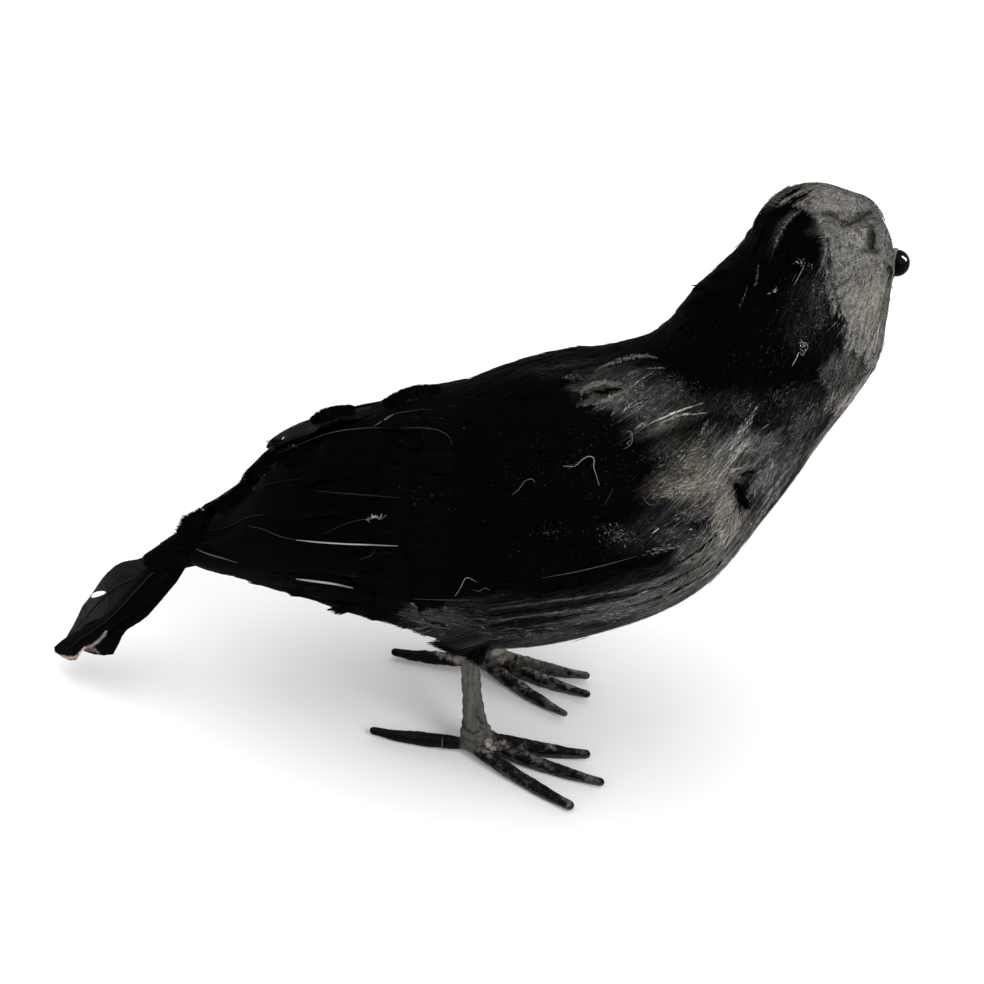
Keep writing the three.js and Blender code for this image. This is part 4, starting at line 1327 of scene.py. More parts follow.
# short feathers over the roots of the tail
over_root, over_uv = Gather(), []
for j in range(13):
    g = math.radians(-95 + j * 190 / 12 + 90)
    rim = T_SIDE * math.cos(g) + T_OVER * math.sin(g)
    size = 25 + 4 * math.sin(j * 2.1)
    wide = 4.6

    def at(l, w, rim=rim, g=g, j=j):
        ahead = unit(T_MAIN * 0.86 + np.array([-0.30, 0, 0.10]))
        t = l / 26
        r = 7.9 - 4.1 * np.clip(t, 0, 1.2) ** 1.1 + 0.2 * (j % 3)
        c = np.array([-79.5, 0, 61.6]) + ahead * l[..., None] - T_OVER * (0.5 * t)[..., None]
        turn = np.cross(T_MAIN, rim)
        flat = rim * (r * np.cos(w / np.maximum(r, 3)))[..., None]
        return c + flat + turn * (np.maximum(r, 3) * np.sin(w / np.maximum(r, 3)))[..., None]

    def edge_w(l, size=size, wide=wide):
        u = np.clip(l / size, 0, 1)
        return wide * np.sqrt(0.3 + 0.7 * sm(0, 0.3, u)) * np.sqrt(
            np.maximum(0, 1 - np.maximum(0, (u - 0.45) / 0.55) ** 2)
        )

    P, faces, uv, lw = vane(at, size, edge_w, lambda l: -edge_w(l), rows=44, cols=6, lean=6,
                            jag=0.06, seed=900 + j)
    e = np.abs(uv[..., 0].reshape(-1) * 2 - 1)
    # edges a little lighter: painted sheen
    over_root.add(P, faces, lin(2.6 + 1.2 * e**6 + 0.8 * rng.random())[:, None] * np.ones(3))
    over_uv.append(uv.reshape(-1, 2))
own(
    over_root.piece("tail_coverts", M_PLUME, uv=np.concatenate(over_uv)),
)

# --------------------------------------------------------------------------
# Legs: wire bound in tape, painted grey, with black paint worn off the toes
# --------------------------------------------------------------------------
LEGS = [
    ("right", 1.3, -23.0, [(-0.8, 34.6, 0), (-17.3, 41.8, 0), (-37.0, 39.0, 0), (174.3, 33.3, 1)]),
    ("left", 0.5, 17.1, [(-5.8, 33.1, 0), (-20.2, 35.9, 0), (-39.5, 35.3, 0), (176.6, 31.0, 1)]),
]


def curve_through(points, n):
    p = np.asarray(points, float)
    p = np.vstack([2 * p[0] - p[1], p, 2 * p[-1] - p[-2]])
    d = np.concatenate([[0], np.cumsum(np.linalg.norm(np.diff(p, axis=0), axis=1) ** 0.5)])
    out = []
    for t in np.linspace(d[1], d[-2], n):
        i = int(np.clip(np.searchsorted(d, t) - 1, 1, len(p) - 3))
        t0, t1, t2, t3 = d[i - 1 : i + 3]
        a1 = (t1 - t) / (t1 - t0) * p[i - 1] + (t - t0) / (t1 - t0) * p[i]
        a2 = (t2 - t) / (t2 - t1) * p[i] + (t - t1) / (t2 - t1) * p[i + 1]
        a3 = (t3 - t) / (t3 - t2) * p[i + 1] + (t - t2) / (t3 - t2) * p[i + 2]
        b1 = (t2 - t) / (t2 - t0) * a1 + (t - t0) / (t2 - t0) * a2
        b2 = (t3 - t) / (t3 - t1) * a2 + (t - t1) / (t3 - t1) * a3
        out.append((t2 - t) / (t2 - t1) * b1 + (t - t1) / (t2 - t1) * b2)
    return np.array(out)


def closed_rod(points, radius, sides=20):
    v, f = thread(points, radius, sides)
    n = len(points)
    ends = np.vstack([points[0], points[-1]])
    v = np.vstack([v, ends])
    j = np.arange(sides)
    k = (j + 1) % sides
    a = np.stack([np.full(sides, n * sides), k, j, j], 1)
    b = np.stack([np.full(sides, n * sides + 1), (n - 1) * sides + j, (n - 1) * sides + k, (n - 1) * sides + k], 1)
    return v, [list(q) for q in f] + [list(q[:3]) for q in a] + [list(q[:3]) for q in b]


M_LEG, _nt, _b = new_material("bound_legs")
_tone = node(_nt, "ShaderNodeAttribute", attribute_name="tone")
_co = node(_nt, "ShaderNodeTexCoord")
_n1 = node(_nt, "ShaderNodeTexNoise", Scale=900.0, Detail=5.0, Roughness=0.65)
_nt.links.new(_co.outputs["Object"], _n1.inputs["Vector"])
_sh = ramp(_nt, _n1.outputs["Fac"], [(0.28, 0.72), (0.72, 1.25)])
_nt.links.new(times(_nt, _tone.outputs["Color"], _sh.outputs["Color"]), _b.inputs["Base Color"])
_rr = ramp(_nt, _n1.outputs["Fac"], [(0.3, 0.5), (0.7, 0.85)])
_nt.links.new(_rr.outputs["Color"], _b.inputs["Roughness"])
_b.inputs["Specular IOR Level"].default_value = 0.05
_bp = node(_nt, "ShaderNodeBump", Strength=0.6, Distance=0.00025)
_nt.links.new(_n1.outputs["Fac"], _bp.inputs["Height"])
_nt.links.new(_bp.outputs[0], _b.inputs["Normal"])

# where the photograph shows pale crust, bare tape or black paint, and a painted highlight on one toe: x, y, size, tone
LEG_MARKS = [
    # the near foot
    (488, 744, 4, (176, 168, 158)), (493, 749, 4, (154, 147, 138)), (486, 751, 3, (146, 139, 130)),
    (491, 741, 3, (132, 126, 118)), (497, 744, 3, (100, 93, 87)), (504, 743, 3.5, (134, 126, 117)),
    (500, 749, 2.5, (84, 80, 76)), (508, 747, 2, (96, 92, 88)), (483, 746, 2, (30, 29, 28)),
    (495, 752, 2, (18, 18, 18)), (489, 747, 1.3, (40, 36, 34)),
    (527, 753, 2.5, (98, 96, 92)), (532, 755, 2, (116, 112, 108)), (516, 750, 2, (66, 64, 62)),
    # a painted highlight on the top of a toe
    (551, 745, 3, (118, 114, 110)), (554, 748, 2, (84, 82, 80)), (546, 744, 2, (70, 69, 67)),
    (584, 752, 3, (70, 69, 67)), (578, 750, 2, (56, 55, 54)), (587, 756, 2, (44, 43, 42)),
    (572, 768, 2.5, (74, 72, 70)), (580, 772, 3, (80, 78, 75)), (590, 777, 4, (84, 82, 78)),
    (596, 780, 3, (70, 68, 66)), (584, 776, 2, (96, 92, 88)), (548, 766, 1.5, (84, 82, 80)),
    (565, 797, 3, (96, 93, 88)), (569, 802, 3, (84, 82, 78)), (562, 793, 2, (70, 68, 66)),
    (556, 790, 2, (76, 74, 71)), (568, 806, 2, (112, 108, 102)), (549, 786, 1.5, (66, 65, 63)),
    (523, 771, 3, (72, 71, 70)), (518, 767, 2.5, (62, 61, 60)), (528, 776, 2, (58, 58, 57)),
    (540, 760, 4, (88, 86, 84)), (546, 764, 3, (74, 72, 70)), (534, 757, 3, (96, 93, 90)),
    (552, 768, 2.5, (62, 60, 58)), (500, 754, 2.5, (70, 66, 62)), (512, 751, 3, (80, 76, 73)),
    (490, 756, 3, (96, 90, 84)), (479, 750, 3, (88, 84, 80)), (521, 748, 2.5, (84, 80, 77)),
    # the far foot
    (438, 653, 3.5, (128, 121, 112)), (442, 655, 4, (116, 110, 103)), (449, 657, 4, (132, 125, 117)),
    (457, 660, 5, (140, 133, 125)), (428, 652, 5, (15, 15, 15)), (421, 653, 4, (12, 12, 12)),
    (433, 651, 2.2, (60, 57, 53)),
    (452, 655, 2, (60, 56, 53)),
    (497, 652, 5.5, (150, 143, 133)), (505, 648, 5, (136, 129, 121)), (502, 660, 4.5, (130, 123, 115)),
    (510, 655, 5, (104, 99, 94)), (516, 650, 4, (124, 117, 109)), (493, 660, 3.5, (84, 78, 74)),
    (487, 661, 3.2, (10, 10, 9)), (499, 666, 3, (56, 53, 50)), (508, 663, 3, (40, 38, 36)),
    (524, 654, 4, (108, 103, 98)), (533, 657, 4, (92, 89, 85)), (543, 658, 4, (100, 96, 92)),
    (552, 660, 3.5, (76, 74, 71)), (561, 664, 4, (96, 93, 90)), (571, 668, 4, (84, 82, 80)),
    (580, 671, 4, (92, 90, 87)), (586, 674, 3, (70, 68, 66)), (566, 669, 2, (34, 33, 32)),
    (518, 662, 2.5, (84, 80, 76)), (530, 667, 2.5, (74, 72, 70)), (543, 671, 3, (88, 85, 81)),
    (553, 675, 2.5, (76, 74, 72)), (569, 686, 3, (104, 101, 96)), (580, 690, 2.5, (58, 56, 54)),
    (515, 674, 2.5, (98, 95, 90)), (524, 679, 2.5, (84, 81, 77)), (537, 687, 2.5, (80, 78, 75)),
    (548, 697, 2.5, (74, 72, 70)), (560, 708, 2.5, (80, 78, 75)), (563, 713, 2, (66, 64, 62)),
]
# cracks and folds, darkened as painted shade in their creases: line, half width, how dark
LEG_FOLD_SHADE = [
    ([(463, 723), (466, 729), (472, 733), (478, 732)], 1.0, 0.9),
    ([(477, 717), (480, 721), (484, 723)], 1.1, 0.9),
    ([(462, 736), (470, 741), (476, 742)], 0.6, 0.6),
    ([(480, 727), (485, 731), (487, 738)], 0.7, 0.6),
    ([(474, 664), (473, 690), (474, 716)], 0.5, 0.35),
    ([(469, 668), (467, 694), (466, 714)], 0.4, 0.3),
    ([(478, 672), (479, 694), (479, 712)], 0.4, 0.35),
    ([(466, 748), (474, 751), (480, 757)], 0.6, 0.5),
    ([(446, 651), (447, 656), (445, 661)], 0.5, 0.7),
    ([(452, 652), (453, 657), (452, 662)], 0.4, 0.6),
    ([(484, 742), (486, 748), (485, 754)], 0.5, 0.7),
    ([(498, 741), (496, 747), (498, 752)], 0.5, 0.7),
    ([(560, 744), (562, 752), (560, 757)], 0.4, 0.5),
]


def leg_tone(p, n, x0, y0):
    r = np.hypot(p[:, 0] - x0, p[:, 1] - y0)
    along = noise3(p * np.array([1.9, 1.9, 0.16]), 21)
    g = lin((76, 75, 72))[None, :] * (1 + 0.20 * noise3(p * 0.5, 20) + 0.30 * along)[:, None]
    # the shank darker on the sides that turn away from the camera: painted shade
    side = 1 - sm(-0.05, 0.42, n @ V_BACK)
    g = g * (1 - 0.55 * side * (r < 6))[:, None]
    # black paint on the toes, worn off along their lower edges
    toe = sm(4.6, 6.6, r + 0.8 * noise3(p * 0.5, 22)) * (1 - sm(6.5, 9.0, p[:, 2]))
    top = sm(-0.12, 0.30, n[:, 2] + 0.22 * noise3(p * 0.35, 23) + 0.16 * noise3(p * 1.3, 24))
    worn = sm(0.55, 1.0, noise3(p * 0.6, 25) + noise3(p * 1.9, 26) * 0.6)
    black = toe * (0.15 + 0.85 * top) * (1 - 0.6 * worn)
    way = np.degrees(np.arctan2(p[:, 1] - y0, p[:, 0] - x0))
    if y0 > 0:
        # the far foot has lost some of its black, and much of it from the last toe
        bare = sm(0.0, 0.5, noise3(p * 0.45, 53) + 0.6 * noise3(p * 1.5, 54))
        spots = sm(-0.35, 0.15, noise3(p * 0.8, 55) + 0.6 * noise3(p * 2.0, 56))
        black = black * (1 - 0.8 * bare)
        black = black * (1 - 0.9 * sm(-14, -9, way) * (p[:, 0] > x0) * spots)
        black = np.maximum(black, toe * 0.95 * (p[:, 0] < x0 - 7))
        crust = sm(0.05, 0.4, noise3(p * 0.9, 57) + 0.7 * noise3(p * 2.4, 58))
        crust = crust * toe * sm(0.35, 0.8, 0.75 * n[:, 2] + 0.6 * n[:, 1]) * (p[:, 0] > x0)
    else:
        black = np.maximum(black, toe * 0.95 * (p[:, 0] < x0))
        crust = 0 * toe
    g = g * (1 - 0.2 * toe[:, None])
    g = g * (1 - black[:, None]) + lin((5, 5, 5)) * black[:, None]
    scuff = sm(0.5, 0.95, noise3(p * np.array([0.6, 1.1, 1.1]), 60) + 0.8 * noise3(p * 3.1, 61))
    scuff = (0.7 * scuff * toe * (n @ V_BACK > 0) * (p[:, 0] > x0))[:, None]
    g = g * (1 - scuff) + lin((70, 68, 65)) * scuff
    crust = (0.85 * crust)[:, None]
    g = g * (1 - crust) + lin((126, 121, 113)) * crust
    sheen = toe * np.exp(-(((n[:, 2] - 0.9) / 0.14) ** 2)) * (0.5 + 0.5 * noise3(p * 0.8, 28))
    g = g + lin((44, 43, 42)) * np.clip(sheen, 0, 1)[:, None] * 0.5
    x, y = place(p)
    x = x + 1.5 * noise3(p * 0.9, 29) + 1.1 * noise3(p * 2.4, 35)
    y = y + 1.3 * noise3(p * 0.9 + 5, 30) + 1.0 * noise3(p * 2.4 + 9, 36)
    shown = sm(-0.1, 0.25, n @ V_BACK)
    rag = noise3(p * 2.3, 31) + 0.6 * noise3(p * 5.0, 32)
    for cx, cy, r0, tone in LEG_MARKS:
        w = 1 - sm(0.55, 1.30, np.hypot(x - cx, (y - cy) * 1.15) / r0 + 0.38 * rag)
        w = np.clip(w * shown * 0.92, 0, 1)[:, None]
        g = g * (1 - w) + lin(tone) * (1 + 0.25 * rag)[:, None] * w
    # painted shade along the cracks and folds
    for line, half, k in LEG_FOLD_SHADE:
        w = k * (1 - sm(half - 0.5, half + 0.8, seg_distance(x, y, line) + 0.3 * rag)) * shown
        g = g * (1 - 0.85 * w)[:, None]
    return g


for side, x0, y0, toes in LEGS:
    verts, faces = [], []
    n0 = 0

    def put(v, f):
        global n0
        verts.append(v)
        faces.extend([[i + n0 for i in q] for q in f])
        n0 += len(v)

    top_z = float(station(5.1)[2])
    shank = curve_through(
        [(x0, y0, 2.6), (x0, y0, 12), (x0 - 0.8, y0, 26), (x0 - 1.5, y0 * 0.96, top_z)], 60
    )
    shank = shank[shank[:, 2] < 58]
    t = np.linspace(0, 1, 60)[: len(shank)]
    rad = 2.95 + 1.45 * np.exp(-(((shank[:, 2] - 4) / 12.0) ** 2)) + 0.08 * np.sin(40 * t)
    shank[:, 0] -= 0.5
    put(*closed_rod(shank, rad, 24))
    flare = curve_through([(x0 + 0.5, y0, 13), (x0 + 3.2, y0, 7.5), (x0 + 7.5, y0 - 0.5, 3.2)], 16)
    put(*closed_rod(flare, np.linspace(2.3, 2.0, 16), 18))
    for ang, size, hind in toes:
        a = math.radians(ang)
        d = np.array([math.cos(a), math.sin(a)])
        # the toes set out from the sides of the foot
        off = {0: (0.8, 1.7 if y0 < 0 else 2.4), 1: (0.4, 0.0), 2: (-1.0, -2.8)}.get(toes.index((ang, size, hind)), (0, -1.0))
        path = [
            (x0 + d[0] * q + off[0] * (1 - q / size), y0 + d[1] * q + off[1] * (1 - q / size), z)
            for q, z in [
                (-1.5, 3.6), (size * 0.2, 2.7 if hind else 3.2), (size * 0.5, 1.95),
                (size * 0.8, 1.65), (size, 2.0),
            ]
        ]
        pts = curve_through(path, 34)
        tt = np.linspace(0, 1, 34)
        r = 1.75 + 0.5 * sm(0.0, 0.35, tt)
        r = r + (0.28 if toes.index((ang, size, hind)) == 0 and y0 < 0 else 0.0)
        fine = 0.40
        if toes.index((ang, size, hind)) == 2:
            fine = 0.30 if y0 < 0 else 0.5
        r = r * (1 - fine * sm(0.45, 1, tt) ** 1.3)
        along = unit(pts[-1] - pts[-2])
        blunt = np.array([pts[-1] + along * q * r[-1] for q in (0.45, 0.8, 1.0)])
        pts = np.vstack([pts, blunt])
        r = np.concatenate([r, r[-1] * np.array([0.9, 0.62, 0.2])])
        put(*closed_rod(pts, r, 18))
    raw = bpy.data.meshes.new("raw_leg")
    raw.from_pydata([tuple(q) for q in (np.vstack(verts) * MM)], [], faces)
    raw.update()
    tmp = bpy.data.objects.new("raw_leg", raw)
    bpy.context.scene.collection.objects.link(tmp)
    mod = tmp.modifiers.new("voxel", "REMESH")
    mod.mode = "VOXEL"
    mod.voxel_size = 0.0004
    dg = bpy.context.evaluated_depsgraph_get()
    me = bpy.data.meshes.new_from_object(tmp.evaluated_get(dg))
    bpy.data.objects.remove(tmp)
    co = np.empty(len(me.vertices) * 3)
    me.vertices.foreach_get("co", co)
    co = co.reshape(-1, 3) / MM
    quads = np.empty(len(me.polygons) * 4, np.int32)
    me.loops.foreach_get("vertex_index", quads)
    quads = quads.reshape(-1, 4)

    def smoothed(values, rounds, w=0.5):
        e = np.concatenate([quads[:, [0, 1]], quads[:, [1, 2]], quads[:, [2, 3]], quads[:, [3, 0]]])
        deg = np.bincount(e.ravel(), minlength=len(values))[:, None]
        for _ in range(rounds):
            acc = np.zeros_like(values)
            for c in range(values.shape[1]):
                acc[:, c] = np.bincount(e[:, 0], values[e[:, 1], c], len(values)) + np.bincount(
                    e[:, 1], values[e[:, 0], c], len(values)
                )
            values = values * (1 - w) + w * acc / np.maximum(deg, 1)
        return values

    co = smoothed(co, 3)
    fn_ = np.cross(co[quads[:, 2]] - co[quads[:, 0]], co[quads[:, 3]] - co[quads[:, 1]])
    nn = np.zeros_like(co)
    for c in range(4):
        for d_ in range(3):
            nn[:, d_] += np.bincount(quads[:, c], fn_[:, d_], len(co))
    nn = unit(nn)
    r = np.hypot(co[:, 0] - x0, co[:, 1] - y0)
    on_shank = (r < 6) & (co[:, 2] > 6)
    ang = np.arctan2(co[:, 1] - y0, co[:, 0] - x0)
    wrap = np.sin((co[:, 2] * 0.9 + ang * 0.8 + 1.2 * noise3(co * 0.2, 41)) * 1.6)
    lump = 0.16 * noise3(co * 0.37, 42) + 0.08 * noise3(co * 0.9, 43) + 0.04 * noise3(co * 2.6, 44)
    crusty = 0.12 * np.clip(noise3(co * 1.9, 45), 0, 1) * (1 - sm(9, 13, r)) * sm(3, 6, r)
    if y0 > 0:
        # the far foot is crusted and knobbly right along its toes
        rough = 0.24 * noise3(co * 0.95, 47) + 0.16 * noise3(co * 2.1, 48)
        crusty = crusty + rough * sm(4, 7, r) * (1 - sm(6.5, 9, co[:, 2])) * (1 - 0.85 * sm(20, 29, r))
    ankle = np.exp(-(((co[:, 2] - 8) / 4.5) ** 2)) * (r < 7)
    folds = 0.3 * ankle * np.sin(co[:, 2] * 2.1 + 2.2 * noise3(co * 0.35, 46) + ang)
    h = lump * np.where(on_shank, 0.55, 1.0) * (1 - 0.6 * sm(24, 33, r)) + crusty + folds + np.where(on_shank, 0.10 * wrap, 0)
    co = co + nn * h[:, None]
    co[:, 2] = np.maximum(co[:, 2], 0.0)
    tone = leg_tone(co, nn, x0, y0)
    own(
        mesh_piece("bound_leg_" + side, co, quads, tone=tone, material=M_LEG),
        replaced=("leg_" + side,),
    )
    bpy.data.meshes.remove(me)

# small dark feathers round the top of each leg
tufts = Gather()
for side, x0, y0, toes in LEGS:
    n = 1000
    g = rng.uniform(0, TAU, n)
    out = rng.uniform(2.4, 8.5, n)
    px, py = x0 - 1.2 + out * np.cos(g), y0 + out * np.sin(g)
    root_z = 77.9 - 41.6 * np.sqrt(1 - (py / 42.3) ** 2) + 0.8 + rng.normal(0, 0.3, n)
    size = rng.uniform(3.0, 6.0, n) * np.interp(out, [2.4, 8.5], [1.1, 0.7])
    K = 5
    tau = np.linspace(0, 1, K)[None, :]
    lean = np.stack([np.cos(g), np.sin(g)], 1)
    back_lean = np.interp(np.cos(g), [-1, 1], [0.9, 0.35])
    X = px[:, None] + size[:, None] * tau * (-back_lean[:, None])
    Y = py[:, None] + rng.normal(0, 0.08, (n, 1)) * size[:, None] * tau
    Z = root_z[:, None] - size[:, None] * tau * (0.7 - 0.25 * tau)
    P = np.stack([X, Y, Z], -1)
    half = 0.22 * np.array([0.9, 1, 0.8, 0.5, 0.05])[None, :, None]
    acr = unit(np.cross(P[:, -1] - P[:, 0], np.stack([np.cos(g), np.sin(g), 0.3 + 0 * g], 1)))[:, None, :]
    S2 = np.stack([P - acr * half, P + acr * half], 2).reshape(-1, 3)
    tone = np.repeat(lin(np.clip(rng.normal(14, 9, n), 4, 60)), 2 * K)[:, None] * np.ones(3)
    tufts.add(S2, strip_faces(n, K), tone)
own(tufts.piece("thigh_tufts", M_PLUME))

# --------------------------------------------------------------------------
# Head: short velvety fibres, bead eyes and the bill
# --------------------------------------------------------------------------
def velvet(P0, n, size, width, seed, flow=None, lift=0.09, sigma=0.22):
    m = len(P0)
    K = 3
    F = -LOOK * 0.85 + np.array([0, 0, -0.5]) if flow is None else flow
    F = F + 0.35 * np.stack([noise3(P0 * 0.12, seed), noise3(P0 * 0.12, seed + 1), noise3(P0 * 0.12, seed + 2)], -1)
    F = F + rng.normal(0, 0.45, (m, 3))
    f = unit(F - (F * n).sum(1, keepdims=True) * n)
    acr = np.cross(n, f)
    tau = np.linspace(0, 1, K)[None, :, None]
    v = size[:, None, None] * tau
    h = 0.1 + 0.09 * v + np.abs(rng.normal(0, lift, (m, 1, 1))) * tau - v * v / 46
    mid = P0[:, None] + f[:, None] * v + n[:, None] * h
    half = width / 2 * np.array([1.0, 0.9, 0.12])[None, :, None]
    P = np.stack([mid - acr[:, None] * half, mid + acr[:, None] * half], 2)
    g = tone_and_sheen_at(P0 + f * size[:, None] * 0.4, n)
    mott = mottle(P0) * np.where(rng.random(m) < 0.09, 0.45, 1.0) * 0.96
    g = g * (np.exp(rng.normal(0, sigma, m)) * mott)[:, None]
    col = g[:, None, None, :] * np.array([0.85, 1.0, 1.12])[None, :, None, None]
    col = np.broadcast_to(col, (m, K, 2, 3))
    return P.reshape(-1, 3), strip_faces(m, K), col.reshape(-1, 3)


def in_face(P):
    q = P - HEAD
    t = (q @ LOOK) / FACE["length"]
    r = np.power(np.maximum(0, 1 - np.power(np.clip(t, 0, 1), 2.1)), 0.62)
    u = (q @ HEAD_UP - FACE["rise"] * (1 - t)) / (FACE["high"] * r + 1e-3)
    v = (q @ HEAD_SIDE) / (FACE["wide"] * r + 1e-3)
    return (t > 0) & (t < 1) & (u * u + v * v < 1)


n = 27000
s0 = rng.uniform(9.4, 13.0, n * 2)
a0 = rng.uniform(0, TAU, n * 2)
# past the last section, s is an angle over the crown: even out its area
crown = s0 > LAST
area = np.where(crown, np.cos((s0 - LAST) * math.pi / 2) * 1.6, 1.0)
s0, a0 = s0[rng.random(n * 2) < area], a0[rng.random(n * 2) < area][: None]
m = min(len(s0), len(a0))
s0, a0 = s0[:m], a0[:m]
P0, n0_ = surf(s0, a0, -0.75), normal_at(np.minimum(s0, 12.97), a0)
grey = tone_and_sheen_at(P0, n0_).mean(1)
ok = ~in_face(P0) & (grey > lin(16))
P0, n0_ = P0[ok][:n], n0_[ok][:n]
v_, f_, c_ = velvet(P0, n0_, rng.uniform(1.2, 2.5, len(P0)), 0.32, 70)
feathers("head_velvet", (v_, f_, c_), material=M_VELVET)

n = 16000
T0, G0 = rng.uniform(0.0, 0.97, n), rng.uniform(0, TAU, n)
P0 = face_point(T0, G0, -0.5)
e = 0.01
t1 = face_point(np.minimum(T0 + e, 0.985), G0) - face_point(np.maximum(T0 - e, 0), G0)
t2 = face_point(T0, G0 + e) - face_point(T0, G0 - e)
n0_ = unit(np.cross(t1, t2))
n0_ = n0_ * np.sign((n0_ * (P0 - HEAD - LOOK * (T0 * 33)[:, None])).sum(1, keepdims=True))
w = np.linalg.norm(np.cross(t1, t2), axis=1)
ok = rng.random(n) < w / np.percentile(w, 90)
P0, n0_ = P0[ok], n0_[ok]
v_, f_, c_ = velvet(P0, n0_, rng.uniform(1.2, 2.5, len(P0)), 0.32, 80)
feathers("face_velvet", (v_, f_, c_), material=M_VELVET)

# eyes: glossy beads, each in a low grey rim; the wire pins they sit on are not built
m, nt, b = new_material("bead")
co_ = node(nt, "ShaderNodeTexCoord")
ns = node(nt, "ShaderNodeTexNoise", Scale=300.0, Detail=2.0)
nt.links.new(co_.outputs["Object"], ns.inputs["Vector"])
cr = ramp(nt, ns.outputs["Fac"], [(0.3, (0.0001, 0.0001, 0.0001)), (0.7, (0.0003, 0.0003, 0.0003))])
nt.links.new(cr.outputs["Color"], b.inputs["Base Color"])
b.inputs["Roughness"].default_value = 0.07
b.inputs["Specular IOR Level"].default_value = 0.045
b.inputs["IOR"].default_value = 1.3
M_BEAD = m

LOOK_FLAT = unit(np.array([LOOK[0], LOOK[1], 0]))
FLAT_RIGHT = np.array([LOOK_FLAT[1], -LOOK_FLAT[0], 0])
BEADS = []
for side, out in (("right", 19.4), ("left", -20.1)):
    c = HEAD + LOOK_FLAT * 10.6 + FLAT_RIGHT * out + np.array([0, 0, -1.95])
    w = unit(FLAT_RIGHT * np.sign(out) + np.array([0, 0, 0.05]))
    e1 = unit(np.cross(w, [0, 0, 1.0]))
    e2 = np.cross(w, e1)
    th = np.linspace(0.001, math.pi - 0.001, 36)
    ph = np.arange(56) / 56 * TAU
    TH, PH = np.meshgrid(th, ph, indexing="ij")
    r = 3.75
    ball = (
        c
        + r * 0.95 * np.cos(TH)[..., None] * w
        + r * np.sin(TH)[..., None] * (np.cos(PH)[..., None] * e1 + np.sin(PH)[..., None] * e2)
    )
    BEADS.append(
        mesh_piece("bead_eye_" + side, ball.reshape(-1, 3), ring_faces(36, 56), material=M_BEAD)
    )
    own(BEADS[-1], replaced=("eye_" + side,))
    ring = Gather()
    ph = np.linspace(0, TAU, 65)[:-1]
    R = 3.7 + 0.2 * noise2(ph * 1.3, 0, 51)
    back_off = -0.85
    tube = []
    for q in np.linspace(0, TAU, 13)[:-1]:
        tube.append(
            c
            + w * (back_off + 0.75 * np.sin(q) + 0.12 * noise2(ph * 3, q, 52))[..., None]
            + (R + 0.6 * np.cos(q))[:, None] * (np.cos(ph)[:, None] * e1 + np.sin(ph)[:, None] * e2)
        )
    tube = np.stack(tube, 1)
    i, j = np.meshgrid(np.arange(64), np.arange(12), indexing="ij")
    f = np.stack([i * 12 + j, i * 12 + (j + 1) % 12, ((i + 1) % 64) * 12 + (j + 1) % 12, ((i + 1) % 64) * 12 + j], -1)
    ring.add(tube.reshape(-1, 3), f.reshape(-1, 4), lin((104, 102, 97)))
    own(ring.piece("eye_rim_" + side, M_VELVET))

# the bill: two halves with the gape line between them
m, nt, b = new_material("bill")
co_ = node(nt, "ShaderNodeTexCoord")
ns = node(nt, "ShaderNodeTexNoise", Scale=420.0, Detail=4.0)
nt.links.new(co_.outputs["Object"], ns.inputs["Vector"])
cr = ramp(nt, ns.outputs["Fac"], [(0.3, (0.0030, 0.0030, 0.0034)), (0.75, (0.0105, 0.0102, 0.0100))])
nt.links.new(cr.outputs["Color"], b.inputs["Base Color"])
rr = ramp(nt, ns.outputs["Fac"], [(0.3, 0.30), (0.7, 0.48)])
nt.links.new(rr.outputs["Color"], b.inputs["Roughness"])
b.inputs["Specular IOR Level"].default_value = 0.4
bp = node(nt, "ShaderNodeBump", Strength=0.3, Distance=0.0002)
nt.links.new(ns.outputs["Fac"], bp.inputs["Height"])
nt.links.new(bp.outputs[0], b.inputs["Normal"])
M_BILL = m
t = np.linspace(0, 1, 70)
g = np.linspace(0, TAU, 73)[:-1]
TT, GG = np.meshgrid(t, g, indexing="ij")
taper = np.power(1 - TT, 0.62) * 0.97 + 0.03
sa, ca = np.sin(GG), np.cos(GG)
ridge = 1 + 0.10 * np.exp(-(((GG - math.pi / 2) / 0.28) ** 2))
gape = 1 - 0.11 * np.exp(-(((sa + 0.20) / 0.055) ** 2)) * (1 - TT**3)
under = 1 - 0.05 * sm(-0.2, -0.3, sa)
narrow = 1 - 0.14 * sm(0.25, 1.0, sa)
hook = 0.4 * sm(0.86, 1.0, TT) * (sa > -0.2)
bill_v = (
    HEAD
    + LOOK * (11 + 51.6 * TT)[..., None]
    + HEAD_UP
    * (-3.5 * TT**2 - 1.5 - hook + 8.75 * taper * sa * np.where(sa < 0, 0.82, 1.03) * ridge)[..., None]
    + HEAD_SIDE * (7.0 * taper * ca * gape * under * narrow)[..., None]
)
own(
    mesh_piece("bill_horn", bill_v.reshape(-1, 3), ring_faces(70, 72), material=M_BILL),
    replaced=("bill",),
)
